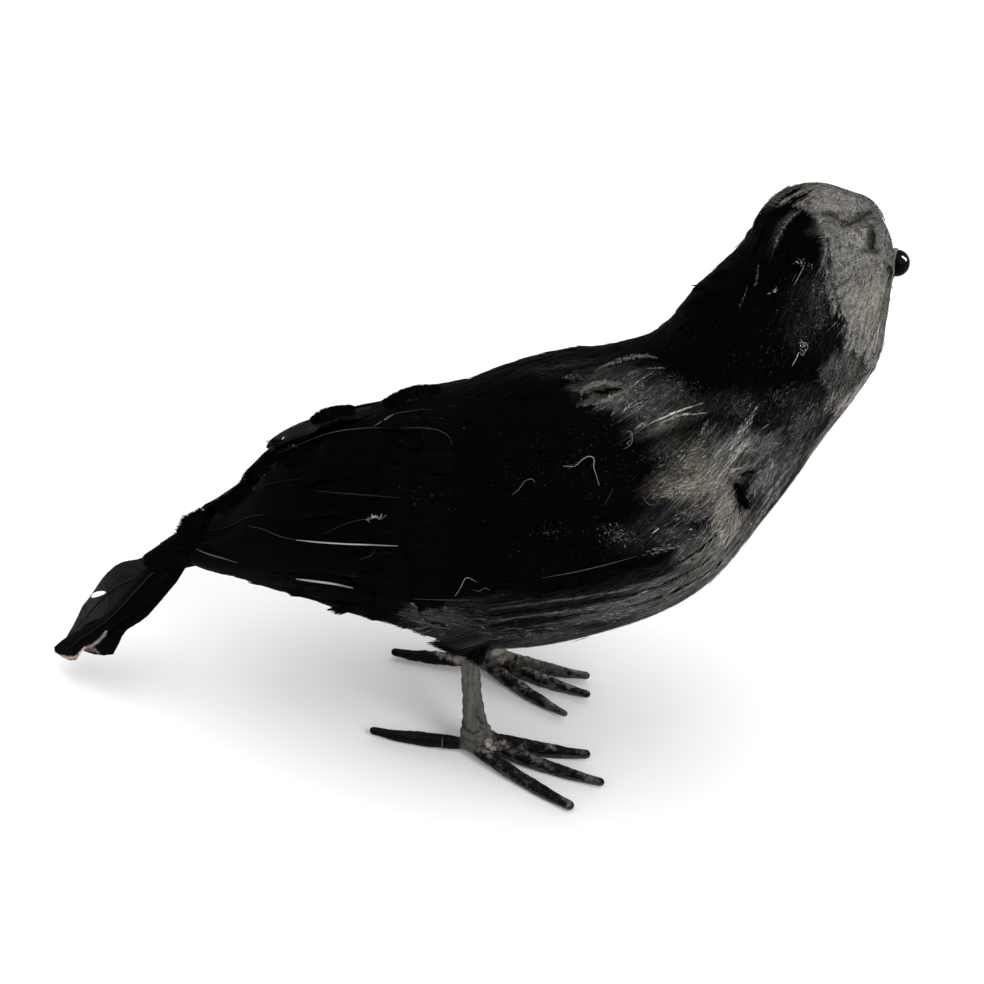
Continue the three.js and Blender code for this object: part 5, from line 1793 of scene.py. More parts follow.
# bristles over the root of the bill
n = 900
T0 = rng.uniform(0.16, 0.34, n)
G0 = rng.uniform(math.pi * 0.02, math.pi * 0.98, n)
tp = np.power(1 - T0, 0.62)
rootp = (
    HEAD
    + LOOK * (11 + 52 * T0)[:, None]
    + HEAD_UP * (-3.5 * T0**2 - 1.5 + 8.9 * tp * np.sin(G0) * 1.05)[:, None]
    + HEAD_SIDE * (7.0 * tp * np.cos(G0) * 0.95)[:, None]
)
nn_ = unit(HEAD_UP * np.sin(G0)[:, None] + HEAD_SIDE * np.cos(G0)[:, None])
fl = unit(LOOK - HEAD_UP * 0.12 + rng.normal(0, 0.09, (n, 3)))
size = rng.uniform(5, 11, n)
K = 5
tau = np.linspace(0, 1, K)[None, :, None]
mid = rootp[:, None] + fl[:, None] * size[:, None, None] * tau + nn_[:, None] * (0.25 + 0.3 * tau * (1 - tau) * 4 * 0.4 - 0.9 * tau * tau * 0.5)
acr = unit(np.cross(nn_, fl))[:, None]
half = 0.2 * np.array([1, 1, 0.8, 0.5, 0.08])[None, :, None]
P = np.stack([mid - acr * half, mid + acr * half], 2)
tone = np.repeat(lin(np.clip(rng.normal(20, 12, n), 5, 70)), 2 * K)[:, None] * np.ones(3)
own(mesh_piece("bill_bristles", P.reshape(-1, 3), strip_faces(n, K), tone=tone, material=M_PLUME))

# --------------------------------------------------------------------------
# What lies on the feathers, each put on the surface under its place in the photograph: brushed
# strands in painted sheen and shade, painted glints, curls of lint and specks of dust
# --------------------------------------------------------------------------
_bv = np.concatenate([v for v, f in BUILT])
_bf, _off = [], 0
for v, f in BUILT:
    _bf.append((f + _off).tolist())
    _off += len(v)
_tree = BVHTree.FromPolygons(_bv.tolist(), [q for part in _bf for q in part])


def on_surface(pts, lift=0.3):
    """Points in the photograph's frame, as points (mm) just over the surface."""
    out, ok = [], []
    eye = Vector(EYE_AT)
    for x, y in pts:
        d = unit((x - 492) / FOCAL * V_RIGHT - (y - 492) / FOCAL * V_UP - V_BACK)
        hit, nrm, idx, dist = _tree.ray_cast(eye, Vector(d))
        if hit is None:
            out.append(None)
            continue
        out.append(dist)
    good = [q for q in out if q is not None]
    if len(good) < max(2, 0.6 * len(out)):
        return None
    mid = float(np.median(good))
    dist = np.array([mid if q is None else q for q in out])
    dist = np.clip(dist, mid - 14, mid + 14)
    for _ in range(2):
        pad = np.concatenate([dist[:1], dist, dist[-1:]])
        low = np.minimum(np.minimum(pad[:-2], pad[2:]), dist)
        dist = 0.5 * dist + 0.5 * low
        pad = np.concatenate([dist[:1], dist, dist[-1:]])
        dist = 0.25 * pad[:-2] + 0.5 * dist + 0.25 * pad[2:]
    res = []
    for (x, y), q in zip(pts, dist):
        d = unit((x - 492) / FOCAL * V_RIGHT - (y - 492) / FOCAL * V_UP - V_BACK)
        res.append(EYE_AT + d * (q - lift))
    return np.array(res)


def through(line, n):
    line = np.array([(x, y, 0) for x, y in line], float)
    if len(line) == 2:
        t = np.linspace(0, 1, n)[:, None]
        return ((1 - t) * line[0] + t * line[1])[:, :2]
    return curve_through(line, n)[:, :2]


lint_and_glints = Gather()


def fibre(line, tone, r=0.16, n=16, lift=0.35, wobble=0.0, seed=0, into=None):
    xy = through(line, n)
    if wobble:
        t = np.linspace(0, 6, n)
        xy = xy + wobble * np.stack([noise2(t, seed, 61), noise2(t, seed, 62)], 1)
    p = on_surface(xy, lift)
    if p is None:
        return
    rr = 0.72 * r * np.sin(np.pi * np.clip(np.linspace(0.06, 0.96, n), 0, 1)) ** 0.5
    v, f = thread(p, rr, 4)
    k = 0.75 + 0.35 * noise2(np.linspace(0, 5, n), seed, 63)
    c = np.repeat(lin(tone)[None, :] * np.clip(k, 0.3, 1.2)[:, None], 4, 0)
    (into or lint_and_glints).add(v, f, c)


# Short hairs and longer wisps, given in the photograph's frame and laid on the surface there.
ROOTS, TIPS, HALF, TONE, NEAR = [], [], [], [], []


def strew(xy, way, size, tone, width=0.14, near=0.0):
    """Flat hairs from xy (px) toward angle way (degrees, y down), size px long."""
    n = len(xy)
    way = np.radians(np.broadcast_to(way, n))
    size = np.broadcast_to(size, n)
    ROOTS.append(np.asarray(xy, float))
    TIPS.append(np.asarray(xy, float) + np.stack([np.cos(way), np.sin(way)], 1) * size[:, None])
    HALF.append(np.broadcast_to(width, n) / 2)
    TONE.append(np.broadcast_to(tone, (n, 3)) if np.ndim(tone) else np.full((n, 3), tone))
    NEAR.append(np.broadcast_to(near, n))


def grains(line, tone, count, wide, seed, size=2.0, width=0.14, sigma=0.75, turn=24.0, taper=True,
           near=0.0):
    """A speckled band along a line: short hairs that mostly follow it."""
    rs = np.random.default_rng(seed + 9000)
    count = int(0.62 * count)
    base = through(line, 40)
    t = rs.uniform(0, 39, count)
    i0 = np.clip(t.astype(int), 0, 38)
    fr = (t - i0)[:, None]
    p = base[i0] * (1 - fr) + base[i0 + 1] * fr
    d = base[i0 + 1] - base[i0]
    way = np.degrees(np.arctan2(d[:, 1], d[:, 0]))
    w = wide / 2 * (np.sin(np.pi * np.clip(t / 39, 0.08, 0.92)) if taper else 1.0)
    nor = unit(np.stack([-d[:, 1], d[:, 0]], 1))
    p = p + nor * (rs.normal(0, 0.55, count) * w)[:, None]
    g = np.exp(rs.normal(0, sigma, count)) * np.sin(np.pi * np.clip(t / 39, 0.1, 0.9)) ** 0.6
    g = lin(np.array(tone, float))[None, :] * g[:, None]
    strew(p, way + rs.normal(0, turn, count), size * np.exp(rs.normal(0, 0.4, count)), np.minimum(g, lin(225)),
          width * np.exp(rs.normal(0, 0.25, count)), near)


def cloud(cx, cy, rx, ry, tone, count, seed, way=150.0, turn=40.0, size=2.4, width=0.13, sigma=0.8,
          lean=0.0):
    """Down strewn over a patch."""
    rs = np.random.default_rng(seed + 12000)
    count = int(0.6 * count)
    # thick in the middle, thinning out without an edge
    r = 0.58 * np.sqrt(-np.log(1 - 0.985 * rs.uniform(0, 1, count)))
    g = rs.uniform(0, TAU, count)
    u, v = rx * r * np.cos(g), ry * r * np.sin(g)
    c, s_ = math.cos(math.radians(lean)), math.sin(math.radians(lean))
    p = np.stack([cx + u * c - v * s_, cy + u * s_ + v * c], 1)
    k = lin(np.array(tone, float))[None, :] * np.exp(rs.normal(0, sigma, count))[:, None]
    strew(p, way + rs.normal(0, turn, count), size * np.exp(rs.normal(0, 0.45, count)), np.minimum(k, lin(178)),
          width * np.exp(rs.normal(0, 0.3, count)))


# the shoulder: two speckled arcs of painted sheen round a hollow painted dark as shade, with strokes that lead off them
grains([(594, 372), (607, 365), (629, 358), (647, 356), (656, 358)], (98, 98, 96), 800, 4.5, 1, sigma=0.5, size=1.7)
grains([(580, 393), (587, 387), (603, 383), (620, 384)], (108, 105, 100), 760, 5.5, 2, sigma=0.5, size=1.8)
grains([(592, 405), (604, 401), (614, 396), (623, 392)], (114, 110, 104), 620, 5.0, 3, sigma=0.5, size=1.8)
grains([(614, 397), (624, 392), (640, 380), (654, 372)], (140, 138, 134), 170, 1.2, 4, turn=8)
grains([(645, 369), (656, 368), (664, 368)], (118, 118, 117), 60, 1.0, 5, turn=8)
grains([(652, 389), (662, 385), (671, 380)], (84, 84, 83), 60, 2.0, 6)
grains([(622, 413), (627, 408), (632, 403)], (150, 148, 143), 60, 2.2, 7)
grains([(634, 415), (640, 408), (646, 402)], (120, 119, 116), 60, 1.4, 8, turn=10)
grains([(612, 404), (622, 398), (633, 392)], (92, 91, 88), 120, 8, 9)
grains([(560, 366), (578, 364), (597, 362)], (44, 44, 44), 80, 2.2, 10, turn=8)
grains([(562, 378), (574, 377), (588, 380)], (58, 58, 57), 160, 8, 11)
cloud(632, 392, 22, 14, (76, 75, 73), 700, 12, way=150, turn=35)
cloud(668, 388, 30, 16, (48, 48, 48), 700, 13, way=160, turn=50)
cloud(650, 412, 28, 10, (58, 58, 57), 420, 14, way=150, turn=35)
cloud(690, 400, 18, 12, (34, 34, 34), 260, 15, turn=50)
cloud(614, 404, 22, 7, (62, 61, 59), 300, 16, turn=40)
cloud(584, 390, 10, 7, (70, 69, 66), 160, 17, turn=50)
grains([(593, 391.5), (604, 391.5), (618, 389.5)], (4, 4, 4), 300, 5.0, 140, size=3, turn=12, sigma=0.2, near=0.35)
grains([(634, 366), (642, 364), (650, 365)], (8, 8, 8), 120, 3.0, 141, size=3, turn=14, sigma=0.2, near=0.3)
# the bright double stroke: a painted highlight
grains([(647, 425), (660, 419), (676, 412), (700, 404)], (168, 166, 160), 300, 1.5, 20, size=4.5, turn=5, width=0.17)
grains([(658, 426), (668, 420), (678, 416), (704, 413)], (132, 129, 123), 260, 2.4, 21, size=4, turn=7)
grains([(634, 430), (642, 425), (650, 420)], (104, 102, 99), 110, 5, 22)
# the wisps that fan over the breast, in painted sheen
grains([(718, 464), (730, 447), (744, 428), (756, 408)], (108, 107, 105), 520, 7.5, 23, size=5, turn=7)
grains([(722, 470), (736, 454), (752, 436)], (124, 122, 118), 340, 6, 24, size=5, turn=8)
grains([(727, 476), (733, 470), (742, 468)], (140, 136, 130), 120, 3, 25, size=4, turn=8)
grains([(726, 484), (733, 475), (742, 469), (752, 468)], (84, 82, 80), 110, 3, 26, size=4, turn=12)
grains([(742, 452), (754, 450), (766, 446), (776, 443)], (118, 117, 115), 260, 8, 27, size=3.4, turn=16)
grains([(746, 458), (758, 456), (772, 450)], (96, 95, 93), 200, 7, 28, size=3.4, turn=14)
grains([(700, 436), (704, 428), (708, 420)], (96, 96, 95), 90, 3, 29, turn=12)
grains([(704, 440), (711, 431), (716, 424)], (74, 74, 73), 90, 4, 30, turn=14)
cloud(698, 462, 24, 21, (90, 88, 79), 1250, 31, way=142, turn=22, size=3.0, sigma=0.7)
cloud(688, 484, 30, 11, (112, 106, 97), 700, 32, way=160, turn=25, size=3.2, lean=-18)
cloud(708, 484, 18, 11, (114, 106, 100), 380, 33, way=158, turn=16, size=4)
cloud(670, 494, 20, 7, (100, 97, 89), 170, 34, way=160, turn=25, lean=-14)
cloud(672, 460, 18, 18, (54, 54, 53), 460, 35, way=145, turn=30, size=3)
cloud(724, 518, 16, 24, (124, 120, 110), 1000, 36, way=128, turn=18, size=4.2, sigma=0.6)
cloud(718, 548, 22, 16, (106, 104, 96), 800, 37, way=137, turn=14, size=5, lean=-45, sigma=0.6)
cloud(768, 474, 8, 28, (88, 87, 86), 700, 38, way=122, turn=14, size=4, lean=36)
cloud(790, 450, 9, 30, (62, 61, 61), 420, 39, way=124, turn=18, size=3.6, lean=38)
cloud(700, 512, 26, 10, (70, 68, 69), 480, 40, way=146, turn=16, size=4.6, lean=-10)
cloud(668, 548, 28, 5, (86, 86, 85), 170, 41, way=165, turn=16, size=3, lean=-14)
cloud(676, 534, 24, 12, (52, 52, 55), 460, 42, way=150, turn=14, size=5)
grains([(712, 534), (718, 530), (727, 530)], (168, 166, 160), 60, 2.2, 43, size=2.6, turn=30)
# the bright seam along the edge of the breast, and down the belly: a painted rim of light
grains([(800, 460), (784, 484), (766, 508), (748, 534)], (100, 98, 92), 420, 3, 44, size=6, turn=5)
grains([(748, 534), (734, 552), (716, 574), (700, 586)], (112, 110, 102), 420, 5, 45, size=6, turn=6)
grains([(792, 462), (774, 488), (758, 512)], (104, 104, 103), 260, 4, 46, size=6, turn=5)
grains([(742, 540), (724, 562), (700, 580)], (120, 117, 108), 240, 4, 47, size=5, turn=8)
grains([(704, 560), (684, 578), (656, 592), (628, 600)], (96, 95, 93), 420, 9, 48, size=5, turn=8)
grains([(694, 586), (660, 604), (620, 616), (584, 622)], (84, 84, 83), 420, 8, 49, size=6, turn=6)
grains([(640, 596), (610, 606), (572, 612), (540, 614)], (70, 70, 70), 360, 8, 50, size=6, turn=6)
grains([(600, 620), (560, 628), (520, 634), (480, 638)], (58, 58, 58), 320, 9, 51, size=6, turn=6)
grains([(452, 642), (430, 632), (408, 618)], (62, 62, 62), 240, 12, 52, size=4, turn=12)
grains([(520, 616), (480, 618), (440, 612)], (40, 40, 40), 240, 14, 53, size=5, turn=8)
# smooth streaks that run along the belly, light and dark by turns: painted sheen and shade
for _k, (_up, _g) in enumerate([(3, 84), (8, 16), (13, 92), (18, 12), (24, 76), (30, 12)]):
    grains([(x - 0.4 * _up, y - _up) for x, y in
            [(744, 546), (716, 576), (680, 598), (630, 614), (570, 624), (500, 633)]],
           (_g, _g, 0.97 * _g), 300 if _g < 30 else 230, 3.6, 150 + _k, size=11, turn=4, sigma=0.4,
           width=0.2 if _g < 30 else 0.15, near=0.12)
# the gap between the breast and the folded strands, painted dark as shade, with painted sheen on the strands by it
grains([(735, 483), (740, 493), (745, 506)], (2.5, 2.5, 2.5), 420, 8.5, 146, size=4.5, turn=34, sigma=0.15,
       width=0.22, near=0.3)
grains([(738, 476), (745, 473), (752, 472)], (3, 3, 3), 120, 3.5, 147, size=3.5, turn=24, sigma=0.15, near=0.3)
grains([(728, 486), (738, 474), (750, 464)], (92, 90, 87), 190, 6, 148, size=8, turn=7, sigma=0.5, near=0.45)
grains([(744, 500), (756, 484), (772, 466), (786, 450)], (84, 82, 82), 420, 13, 149, size=10, turn=5, sigma=0.5,
       width=0.15, near=0.1)
grains([(770, 492), (786, 470), (802, 448)], (90, 88, 86), 260, 8, 160, size=10, turn=4, sigma=0.5, width=0.15)
grains([(690, 566), (668, 578), (640, 588)], (84, 84, 83), 200, 6, 161, size=10, turn=5, sigma=0.4)
grains([(738, 508), (732, 528), (714, 548)], (140, 138, 129), 520, 15, 162, size=8, turn=9, sigma=0.45)
grains([(742, 538), (722, 562), (698, 580)], (124, 122, 114), 420, 11, 163, size=10, turn=5, sigma=0.45)
grains([(716, 546), (700, 556), (680, 564)], (100, 99, 97), 220, 10, 164, size=8, turn=8, sigma=0.45)
grains([(672, 588), (640, 600), (604, 610)], (92, 92, 91), 320, 9, 165, size=11, turn=4, sigma=0.4)
grains([(786, 424), (770, 440), (756, 456)], (78, 77, 76), 260, 14, 166, size=9, turn=8, sigma=0.5)
grains([(812, 416), (800, 434), (786, 452)], (72, 70, 68), 240, 8, 167, size=9, turn=6, sigma=0.5)
# the lower neck: painted sheen and shade
cloud(806, 420, 14, 26, (58, 57, 56), 640, 54, way=128, turn=12, size=6, lean=32)
cloud(834, 400, 7, 16, (92, 90, 84), 360, 55, way=125, turn=20, size=3.4, lean=34)
cloud(742, 408, 26, 14, (40, 40, 40), 420, 56, way=125, turn=30, size=3.4)
cloud(786, 396, 24, 14, (36, 36, 36), 360, 57, way=130, turn=30, size=3.2)
cloud(806, 322, 14, 30, (36, 36, 36), 300, 58, way=120, turn=50, size=1.8)
cloud(784, 340, 22, 32, (28, 28, 28), 150, 59, way=120, turn=50, size=1.6)
cloud(820, 300, 9, 26, (58, 58, 57), 260, 60, way=125, turn=30, size=2.6)
cloud(822, 318, 8, 16, (48, 48, 47), 130, 61, way=125, turn=35, size=2.4)
# the back of the crown: streaks of painted sheen with painted shade between them
grains([(802, 210), (794, 215), (785, 225), (778, 238), (775, 247)], (96, 95, 92), 260, 2.6, 62, size=1.6, turn=40)
grains([(764, 208), (772, 200), (786, 190), (798, 187)], (78, 76, 72), 240, 5, 63, size=5, turn=8)
grains([(776, 208), (788, 200), (802, 195)], (92, 89, 83), 200, 5, 64, size=4.5, turn=10)
grains([(782, 196), (792, 190), (806, 190)], (98, 96, 91), 220, 6, 65, size=4, turn=10)
grains([(792, 205), (803, 207), (813, 213)], (98, 94, 87), 130, 4, 66, size=2.2, turn=45)
grains([(764, 204), (774, 196), (786, 188)], (5, 5, 5), 260, 1.8, 170, size=6, turn=4, near=0.25, sigma=0.15)
grains([(773, 207), (784, 198), (796, 191)], (5, 5, 5), 260, 1.9, 171, size=6, turn=4, near=0.25, sigma=0.15)
grains([(787, 207), (796, 200), (806, 194)], (8, 8, 8), 200, 1.6, 172, size=6, turn=4, near=0.25, sigma=0.15)
grains([(768, 206), (779, 197), (791, 189)], (104, 100, 92), 170, 1.3, 173, size=6, turn=4, sigma=0.4, near=0.3)
grains([(780, 208), (790, 199), (802, 192)], (114, 109, 100), 170, 1.4, 174, size=6, turn=4, sigma=0.4, near=0.3)
grains([(792, 208), (800, 203), (809, 198)], (122, 116, 107), 120, 1.6, 175, size=4, turn=8, sigma=0.4, near=0.3)
grains([(770, 206), (780, 197), (792, 191)], (8, 8, 8), 160, 2.2, 67, size=5, turn=6)
grains([(784, 206), (793, 199), (804, 196)], (12, 12, 12), 130, 2.0, 68, size=5, turn=6)
# dark and light streaks over the grey sheen of the head: painted shade in its folds and painted highlights
grains([(828, 236), (830, 262), (833, 285), (839, 307), (846, 324)], (26, 26, 28), 420, 9, 118, size=3.0, turn=22,
       sigma=0.3, near=0.1)
grains([(834, 240), (838, 270), (842, 296), (850, 318)], (132, 131, 132), 150, 10, 119, size=2.6, turn=60, sigma=0.3,
       near=0.1)
grains([(842, 228), (856, 221), (870, 212)], (40, 39, 38), 170, 3.4, 120, size=2.6, turn=18, sigma=0.4)
grains([(829, 214), (838, 219), (848, 222)], (48, 47, 46), 110, 3.4, 121, size=2.4, turn=30, sigma=0.4)
grains([(850, 222), (862, 220), (874, 218)], (56, 55, 53), 90, 2.6, 122, size=2.6, turn=16, sigma=0.4)
grains([(854, 214), (862, 212), (870, 213)], (66, 65, 63), 70, 2.6, 123, size=2.6, turn=20, sigma=0.4)
grains([(872.5, 231), (874, 238), (873, 247)], (16, 16, 16), 120, 3.0, 124, size=2.0, turn=14, sigma=0.3)
grains([(860, 252), (868, 250), (878, 252)], (58, 57, 56), 110, 5, 125, size=2.2, turn=40, sigma=0.35)
grains([(862, 228), (870, 226), (878, 224)], (64, 63, 61), 70, 3, 126, size=2.4, turn=20, sigma=0.4)
grains([(889, 265), (890, 272), (888, 279)], (12, 12, 12), 80, 3.2, 127, size=1.8, turn=30, sigma=0.3)
grains([(873, 351), (874, 354), (873, 358)], (26, 26, 26), 30, 2.6, 128, size=1.6, turn=40, sigma=0.3)
grains([(832, 250), (842, 246), (852, 246)], (72, 71, 69), 70, 4, 129, size=2.6, turn=30, sigma=0.4)
grains([(834, 290), (843, 284), (852, 276)], (76, 75, 72), 80, 3, 130, size=3.0, turn=14, sigma=0.4)
grains([(838, 300), (850, 290), (860, 282)], (80, 79, 76), 70, 3, 131, size=3.0, turn=14, sigma=0.4)
grains([(836, 262), (846, 258), (858, 252)], (138, 136, 131), 80, 3, 132, size=3.0, turn=14, sigma=0.3)
grains([(834, 278), (848, 268), (862, 262)], (140, 138, 132), 90, 4, 133, size=3.0, turn=14, sigma=0.3)
grains([(838, 322), (850, 332), (864, 338)], (84, 83, 80), 90, 5, 134, size=2.4, turn=30, sigma=0.4)
grains([(886, 296), (880, 318), (872, 338)], (82, 81, 76), 150, 3, 135, size=3.0, turn=10, sigma=0.35)
grains([(890, 296), (886, 316), (880, 336)], (90, 89, 84), 120, 2.4, 136, size=3.0, turn=8, sigma=0.35)
grains([(826, 262), (828, 284), (831, 304)], (112, 110, 106), 160, 6, 137, size=2.4, turn=70, sigma=0.4)
for k, (x, y, rx, ry, tone, n_, way) in enumerate([
    (842, 204, 24, 12, (126, 122, 116), 150, 160), (834, 186, 28, 7, (118, 115, 109), 150, 170),
    (862, 300, 16, 30, (134, 131, 124), 200, 140), (850, 316, 12, 16, (98, 96, 93), 110, 140),
    (872, 330, 12, 24, (130, 128, 121), 160, 120), (842, 240, 14, 10, (120, 118, 114), 90, 160),
    (848, 372, 22, 20, (90, 88, 86), 420, 110), (842, 374, 20, 20, (38, 37, 36), 420, 115),
    (872, 360, 8, 20, (124, 122, 115), 160, 118), (866, 266, 12, 8, (96, 95, 92), 90, 130),
]):
    cloud(x, y, rx, ry, tone, n_, 100 + k, way=way, turn=45, size=1.9, sigma=0.25, width=0.15)


# painted highlights on the feather edges and shafts that catch the light
fibre([(190, 514), (205, 507), (225, 497), (250, 480), (262, 466), (275, 455)], (66, 66, 65), r=0.17, n=26)
fibre([(275, 455), (300, 444), (330, 433), (365, 428), (400, 428)], (80, 80, 78), r=0.17, n=26)
fibre([(400, 428), (425, 428), (440, 431), (449, 437), (452, 446)], (62, 62, 61), r=0.17, n=16)
fibre([(374, 426), (391, 415), (410, 411), (432, 409)], (70, 70, 69), r=0.12, n=16)
fibre([(374, 426), (386, 419), (394, 414)], (140, 139, 136), r=0.2, n=8)
fibre([(413, 599), (450, 600), (487, 600)], (64, 64, 63), r=0.17, n=14)
fibre([(542, 578), (580, 571), (620, 561), (637, 556)], (88, 87, 82), r=0.15, n=18)
fibre([(324, 534), (345, 524), (365, 519), (390, 518)], (40, 40, 40), r=0.15, n=12)
fibre([(358, 560), (372, 555), (376, 549)], (48, 48, 48), r=0.15, n=8)
fibre([(248, 526), (262, 529), (282, 537), (310, 542)], (58, 58, 57), r=0.16, n=16)
fibre([(296, 540), (315, 542), (345, 544), (372, 545), (398, 546)], (176, 175, 172), r=0.32, n=22)
fibre([(196, 549), (208, 554), (222, 558), (238, 563)], (96, 96, 95), r=0.3, n=14)
fibre([(296, 579), (312, 581), (334, 584), (353, 588)], (178, 177, 174), r=0.5, n=16)
fibre([(316, 491), (350, 494), (378, 496), (401, 498)], (38, 38, 38), r=0.22, n=16)
grains([(287, 446), (292, 445), (297, 447)], (150, 149, 146), 60, 2.2, 70, turn=20)
grains([(275, 452), (282, 449), (290, 447)], (74, 74, 73), 60, 2.6, 71, turn=16)
grains([(253, 479), (258, 476), (264, 475)], (150, 149, 146), 60, 2.2, 72, turn=16)
grains([(238, 484), (246, 480), (254, 478)], (66, 66, 65), 60, 3.0, 73, turn=16)
grains([(240, 494), (250, 491), (262, 488)], (40, 40, 39), 60, 3.0, 74, turn=16)
grains([(288, 428), (296, 425), (308, 422)], (88, 88, 86), 90, 3.0, 75, turn=16)
grains([(270, 437), (280, 432), (290, 428)], (60, 60, 59), 80, 3.2, 76, turn=16)
grains([(392, 395), (398, 393), (406, 391)], (92, 92, 91), 80, 2.6, 77, turn=8)
grains([(404, 402), (425, 396), (450, 392)], (30, 30, 30), 120, 5, 78, turn=8)
grains([(183, 517), (196, 512), (212, 506)], (70, 70, 69), 90, 2.2, 79, turn=10)
grains([(366, 520), (374, 517), (381, 518)], (180, 178, 172), 60, 2.6, 80, size=2.2, turn=60)
# lint
fibre([(563, 466), (574, 466), (582, 460), (589, 456), (594, 458), (594, 467), (597, 479), (599, 486)],
      (160, 158, 152), r=0.15, n=30, wobble=0.5, seed=1, lift=0.6)
grains([(566, 466), (576, 464), (586, 457)], (84, 83, 80), 40, 3, 81, turn=50, size=1.8)
fibre([(512, 495), (519, 489), (525, 481), (532, 479), (535, 482)], (116, 114, 110), r=0.13, n=18, seed=2, lift=0.6)
fibre([(455, 596), (461, 587), (466, 578), (472, 579), (477, 583)], (140, 138, 132), r=0.13, n=20, wobble=0.6, seed=3, lift=0.6)
fibre([(473, 590), (480, 591), (484, 588), (490, 590)], (96, 95, 92), r=0.13, n=10, seed=4)
fibre([(366, 520), (374, 517), (380, 519), (386, 515)], (130, 128, 124), r=0.15, n=12, wobble=1.0, seed=5, lift=0.6)
fibre([(759, 264), (758, 274), (756, 284)], (80, 80, 79), r=0.13, n=8, seed=7)
grains([(759, 264), (757, 274), (756, 284)], (88, 88, 86), 30, 1.4, 82, turn=30, size=1.8)
grains([(748, 286), (744, 297), (740, 307)], (70, 70, 69), 50, 1.8, 83, turn=26, size=2)
fibre([(804, 266), (799, 276), (794, 285)], (136, 134, 130), r=0.14, n=10, seed=9, lift=0.5)
fibre([(796, 274), (792, 282)], (70, 69, 67), r=0.12, n=6, seed=19, lift=0.5)
grains([(794, 260), (803, 263), (813, 268)], (120, 118, 114), 46, 8, 84, turn=90, size=1.3, taper=False)
grains([(767, 294), (773, 292), (777, 290)], (112, 111, 108), 34, 2.4, 85, size=1.8, turn=24)
fibre([(792, 366), (796, 359), (799, 352)], (178, 175, 169), r=0.16, n=12, seed=12, lift=0.6)
fibre([(799, 342), (804, 343), (807, 348), (803, 354), (799, 352)], (150, 148, 142), r=0.11, n=16, wobble=1.4, seed=13, lift=0.7)
fibre([(802, 341), (806, 346), (801, 350), (804, 355)], (140, 138, 133), r=0.10, n=14, wobble=1.6, seed=14, lift=0.7)
grains([(798, 341), (806, 345), (802, 353)], (168, 166, 160), 34, 7, 86, turn=90, size=1.3, taper=False)
fibre([(625, 431), (632, 434), (633, 440), (628, 446), (623, 449)], (120, 118, 113), r=0.11, n=20, wobble=1.2, seed=15)
grains([(626, 431), (632, 436), (628, 446)], (130, 128, 123), 26, 4, 87, turn=80, size=1.6)
fibre([(643, 496), (647, 503), (654, 505), (661, 503)], (92, 90, 85), r=0.12, n=10, seed=16)
fibre([(604, 505), (609, 497), (613, 488)], (50, 50, 49), r=0.12, n=10, seed=17)
fibre([(443, 737), (442, 744), (443, 751)], (132, 130, 126), r=0.14, n=10, seed=18, lift=0.25)

# dust: little flecks strewn where the photograph shows them
for k, (cx, cy, rx, ry, count, tone) in enumerate([
    (585, 455, 130, 80, 260, 34), (622, 537, 26, 11, 220, 96), (612, 530, 16, 7, 90, 120),
    (600, 480, 70, 80, 160, 42), (430, 420, 50, 22, 60, 36), (470, 500, 70, 70, 50, 34),
    (415, 490, 26, 20, 24, 60), (760, 360, 56, 46, 160, 42), (720, 400, 50, 24, 110, 44),
    (540, 560, 90, 24, 70, 34), (556, 532, 30, 10, 60, 70), (480, 590, 50, 22, 40, 36),
    (610, 420, 50, 30, 130, 44), (640, 460, 40, 40, 170, 42), (600, 380, 60, 20, 100, 42),
    (790, 310, 40, 56, 120, 46), (540, 470, 40, 40, 50, 40), (648, 524, 20, 10, 60, 60),
]):
    cloud(cx, cy, rx, ry, (tone, tone, tone * 0.98), count, 300 + k, way=0, turn=180, size=0.8,
          width=0.13, sigma=0.8)


# ragged tips that stand off the nape, the crown, the wing's end and the belly's edge
def hang(root_line, tip_line, count, tone, seed, width=0.3, near=0.0, jitter=(1.5, 1.2), sigma=0.3):
    """Hairs from one line to another in the frame; near mm nearer the eye at their tips."""
    rs = np.random.default_rng(seed + 20000)
    a, b = through(root_line, 30), through(tip_line, 30)
    t = rs.uniform(0, 29, count)
    i0 = np.clip(t.astype(int), 0, 28)
    fr = (t - i0)[:, None]
    p = a[i0] * (1 - fr) + a[i0 + 1] * fr + rs.normal(0, jitter[0], (count, 2))
    q = b[i0] * (1 - fr) + b[i0 + 1] * fr + rs.normal(0, jitter[1], (count, 2)) * np.array([1, 0.6])
    ROOTS.append(p)
    TIPS.append(q)
    HALF.append(np.full(count, width / 2))
    TONE.append(lin(np.array(tone, float))[None, :] * np.exp(rs.normal(0, sigma, count))[:, None])
    NEAR.append(np.full(count, near))


hang([(722, 286), (714, 291)], [(692, 285), (694, 292)], 26, (5, 5, 5), 1, width=0.5, near=-1)
hang([(712, 296), (702, 304)], [(684, 305), (680, 311)], 26, (5, 5, 5), 2, width=0.5, near=-1)
hang([(730, 268), (722, 278)], [(716, 273), (706, 281)], 16, (5, 5, 5), 3, width=0.4, near=-1)
hang([(806, 188), (803, 190)], [(784, 187), (782, 190)], 7, (70, 68, 64), 4, width=0.25, jitter=(1, 0.6))
hang([(788, 196), (776, 206)], [(774, 192), (765, 205)], 22, (60, 58, 54), 5, width=0.3, jitter=(1.2, 0.8))
hang([(208, 520), (198, 528)], [(200, 508), (185, 516)], 130, (4, 4, 4), 6, width=0.6, jitter=(1.6, 1.0))
hang([(198, 522), (194, 538)], [(184, 516), (175.5, 533)], 220, (3, 3, 3), 61, width=0.45, jitter=(1.6, 1.3))
hang([(196, 540), (192, 554)], [(178, 536), (182, 550)], 50, (3, 3, 3), 62, width=0.45, jitter=(1.4, 1.2))
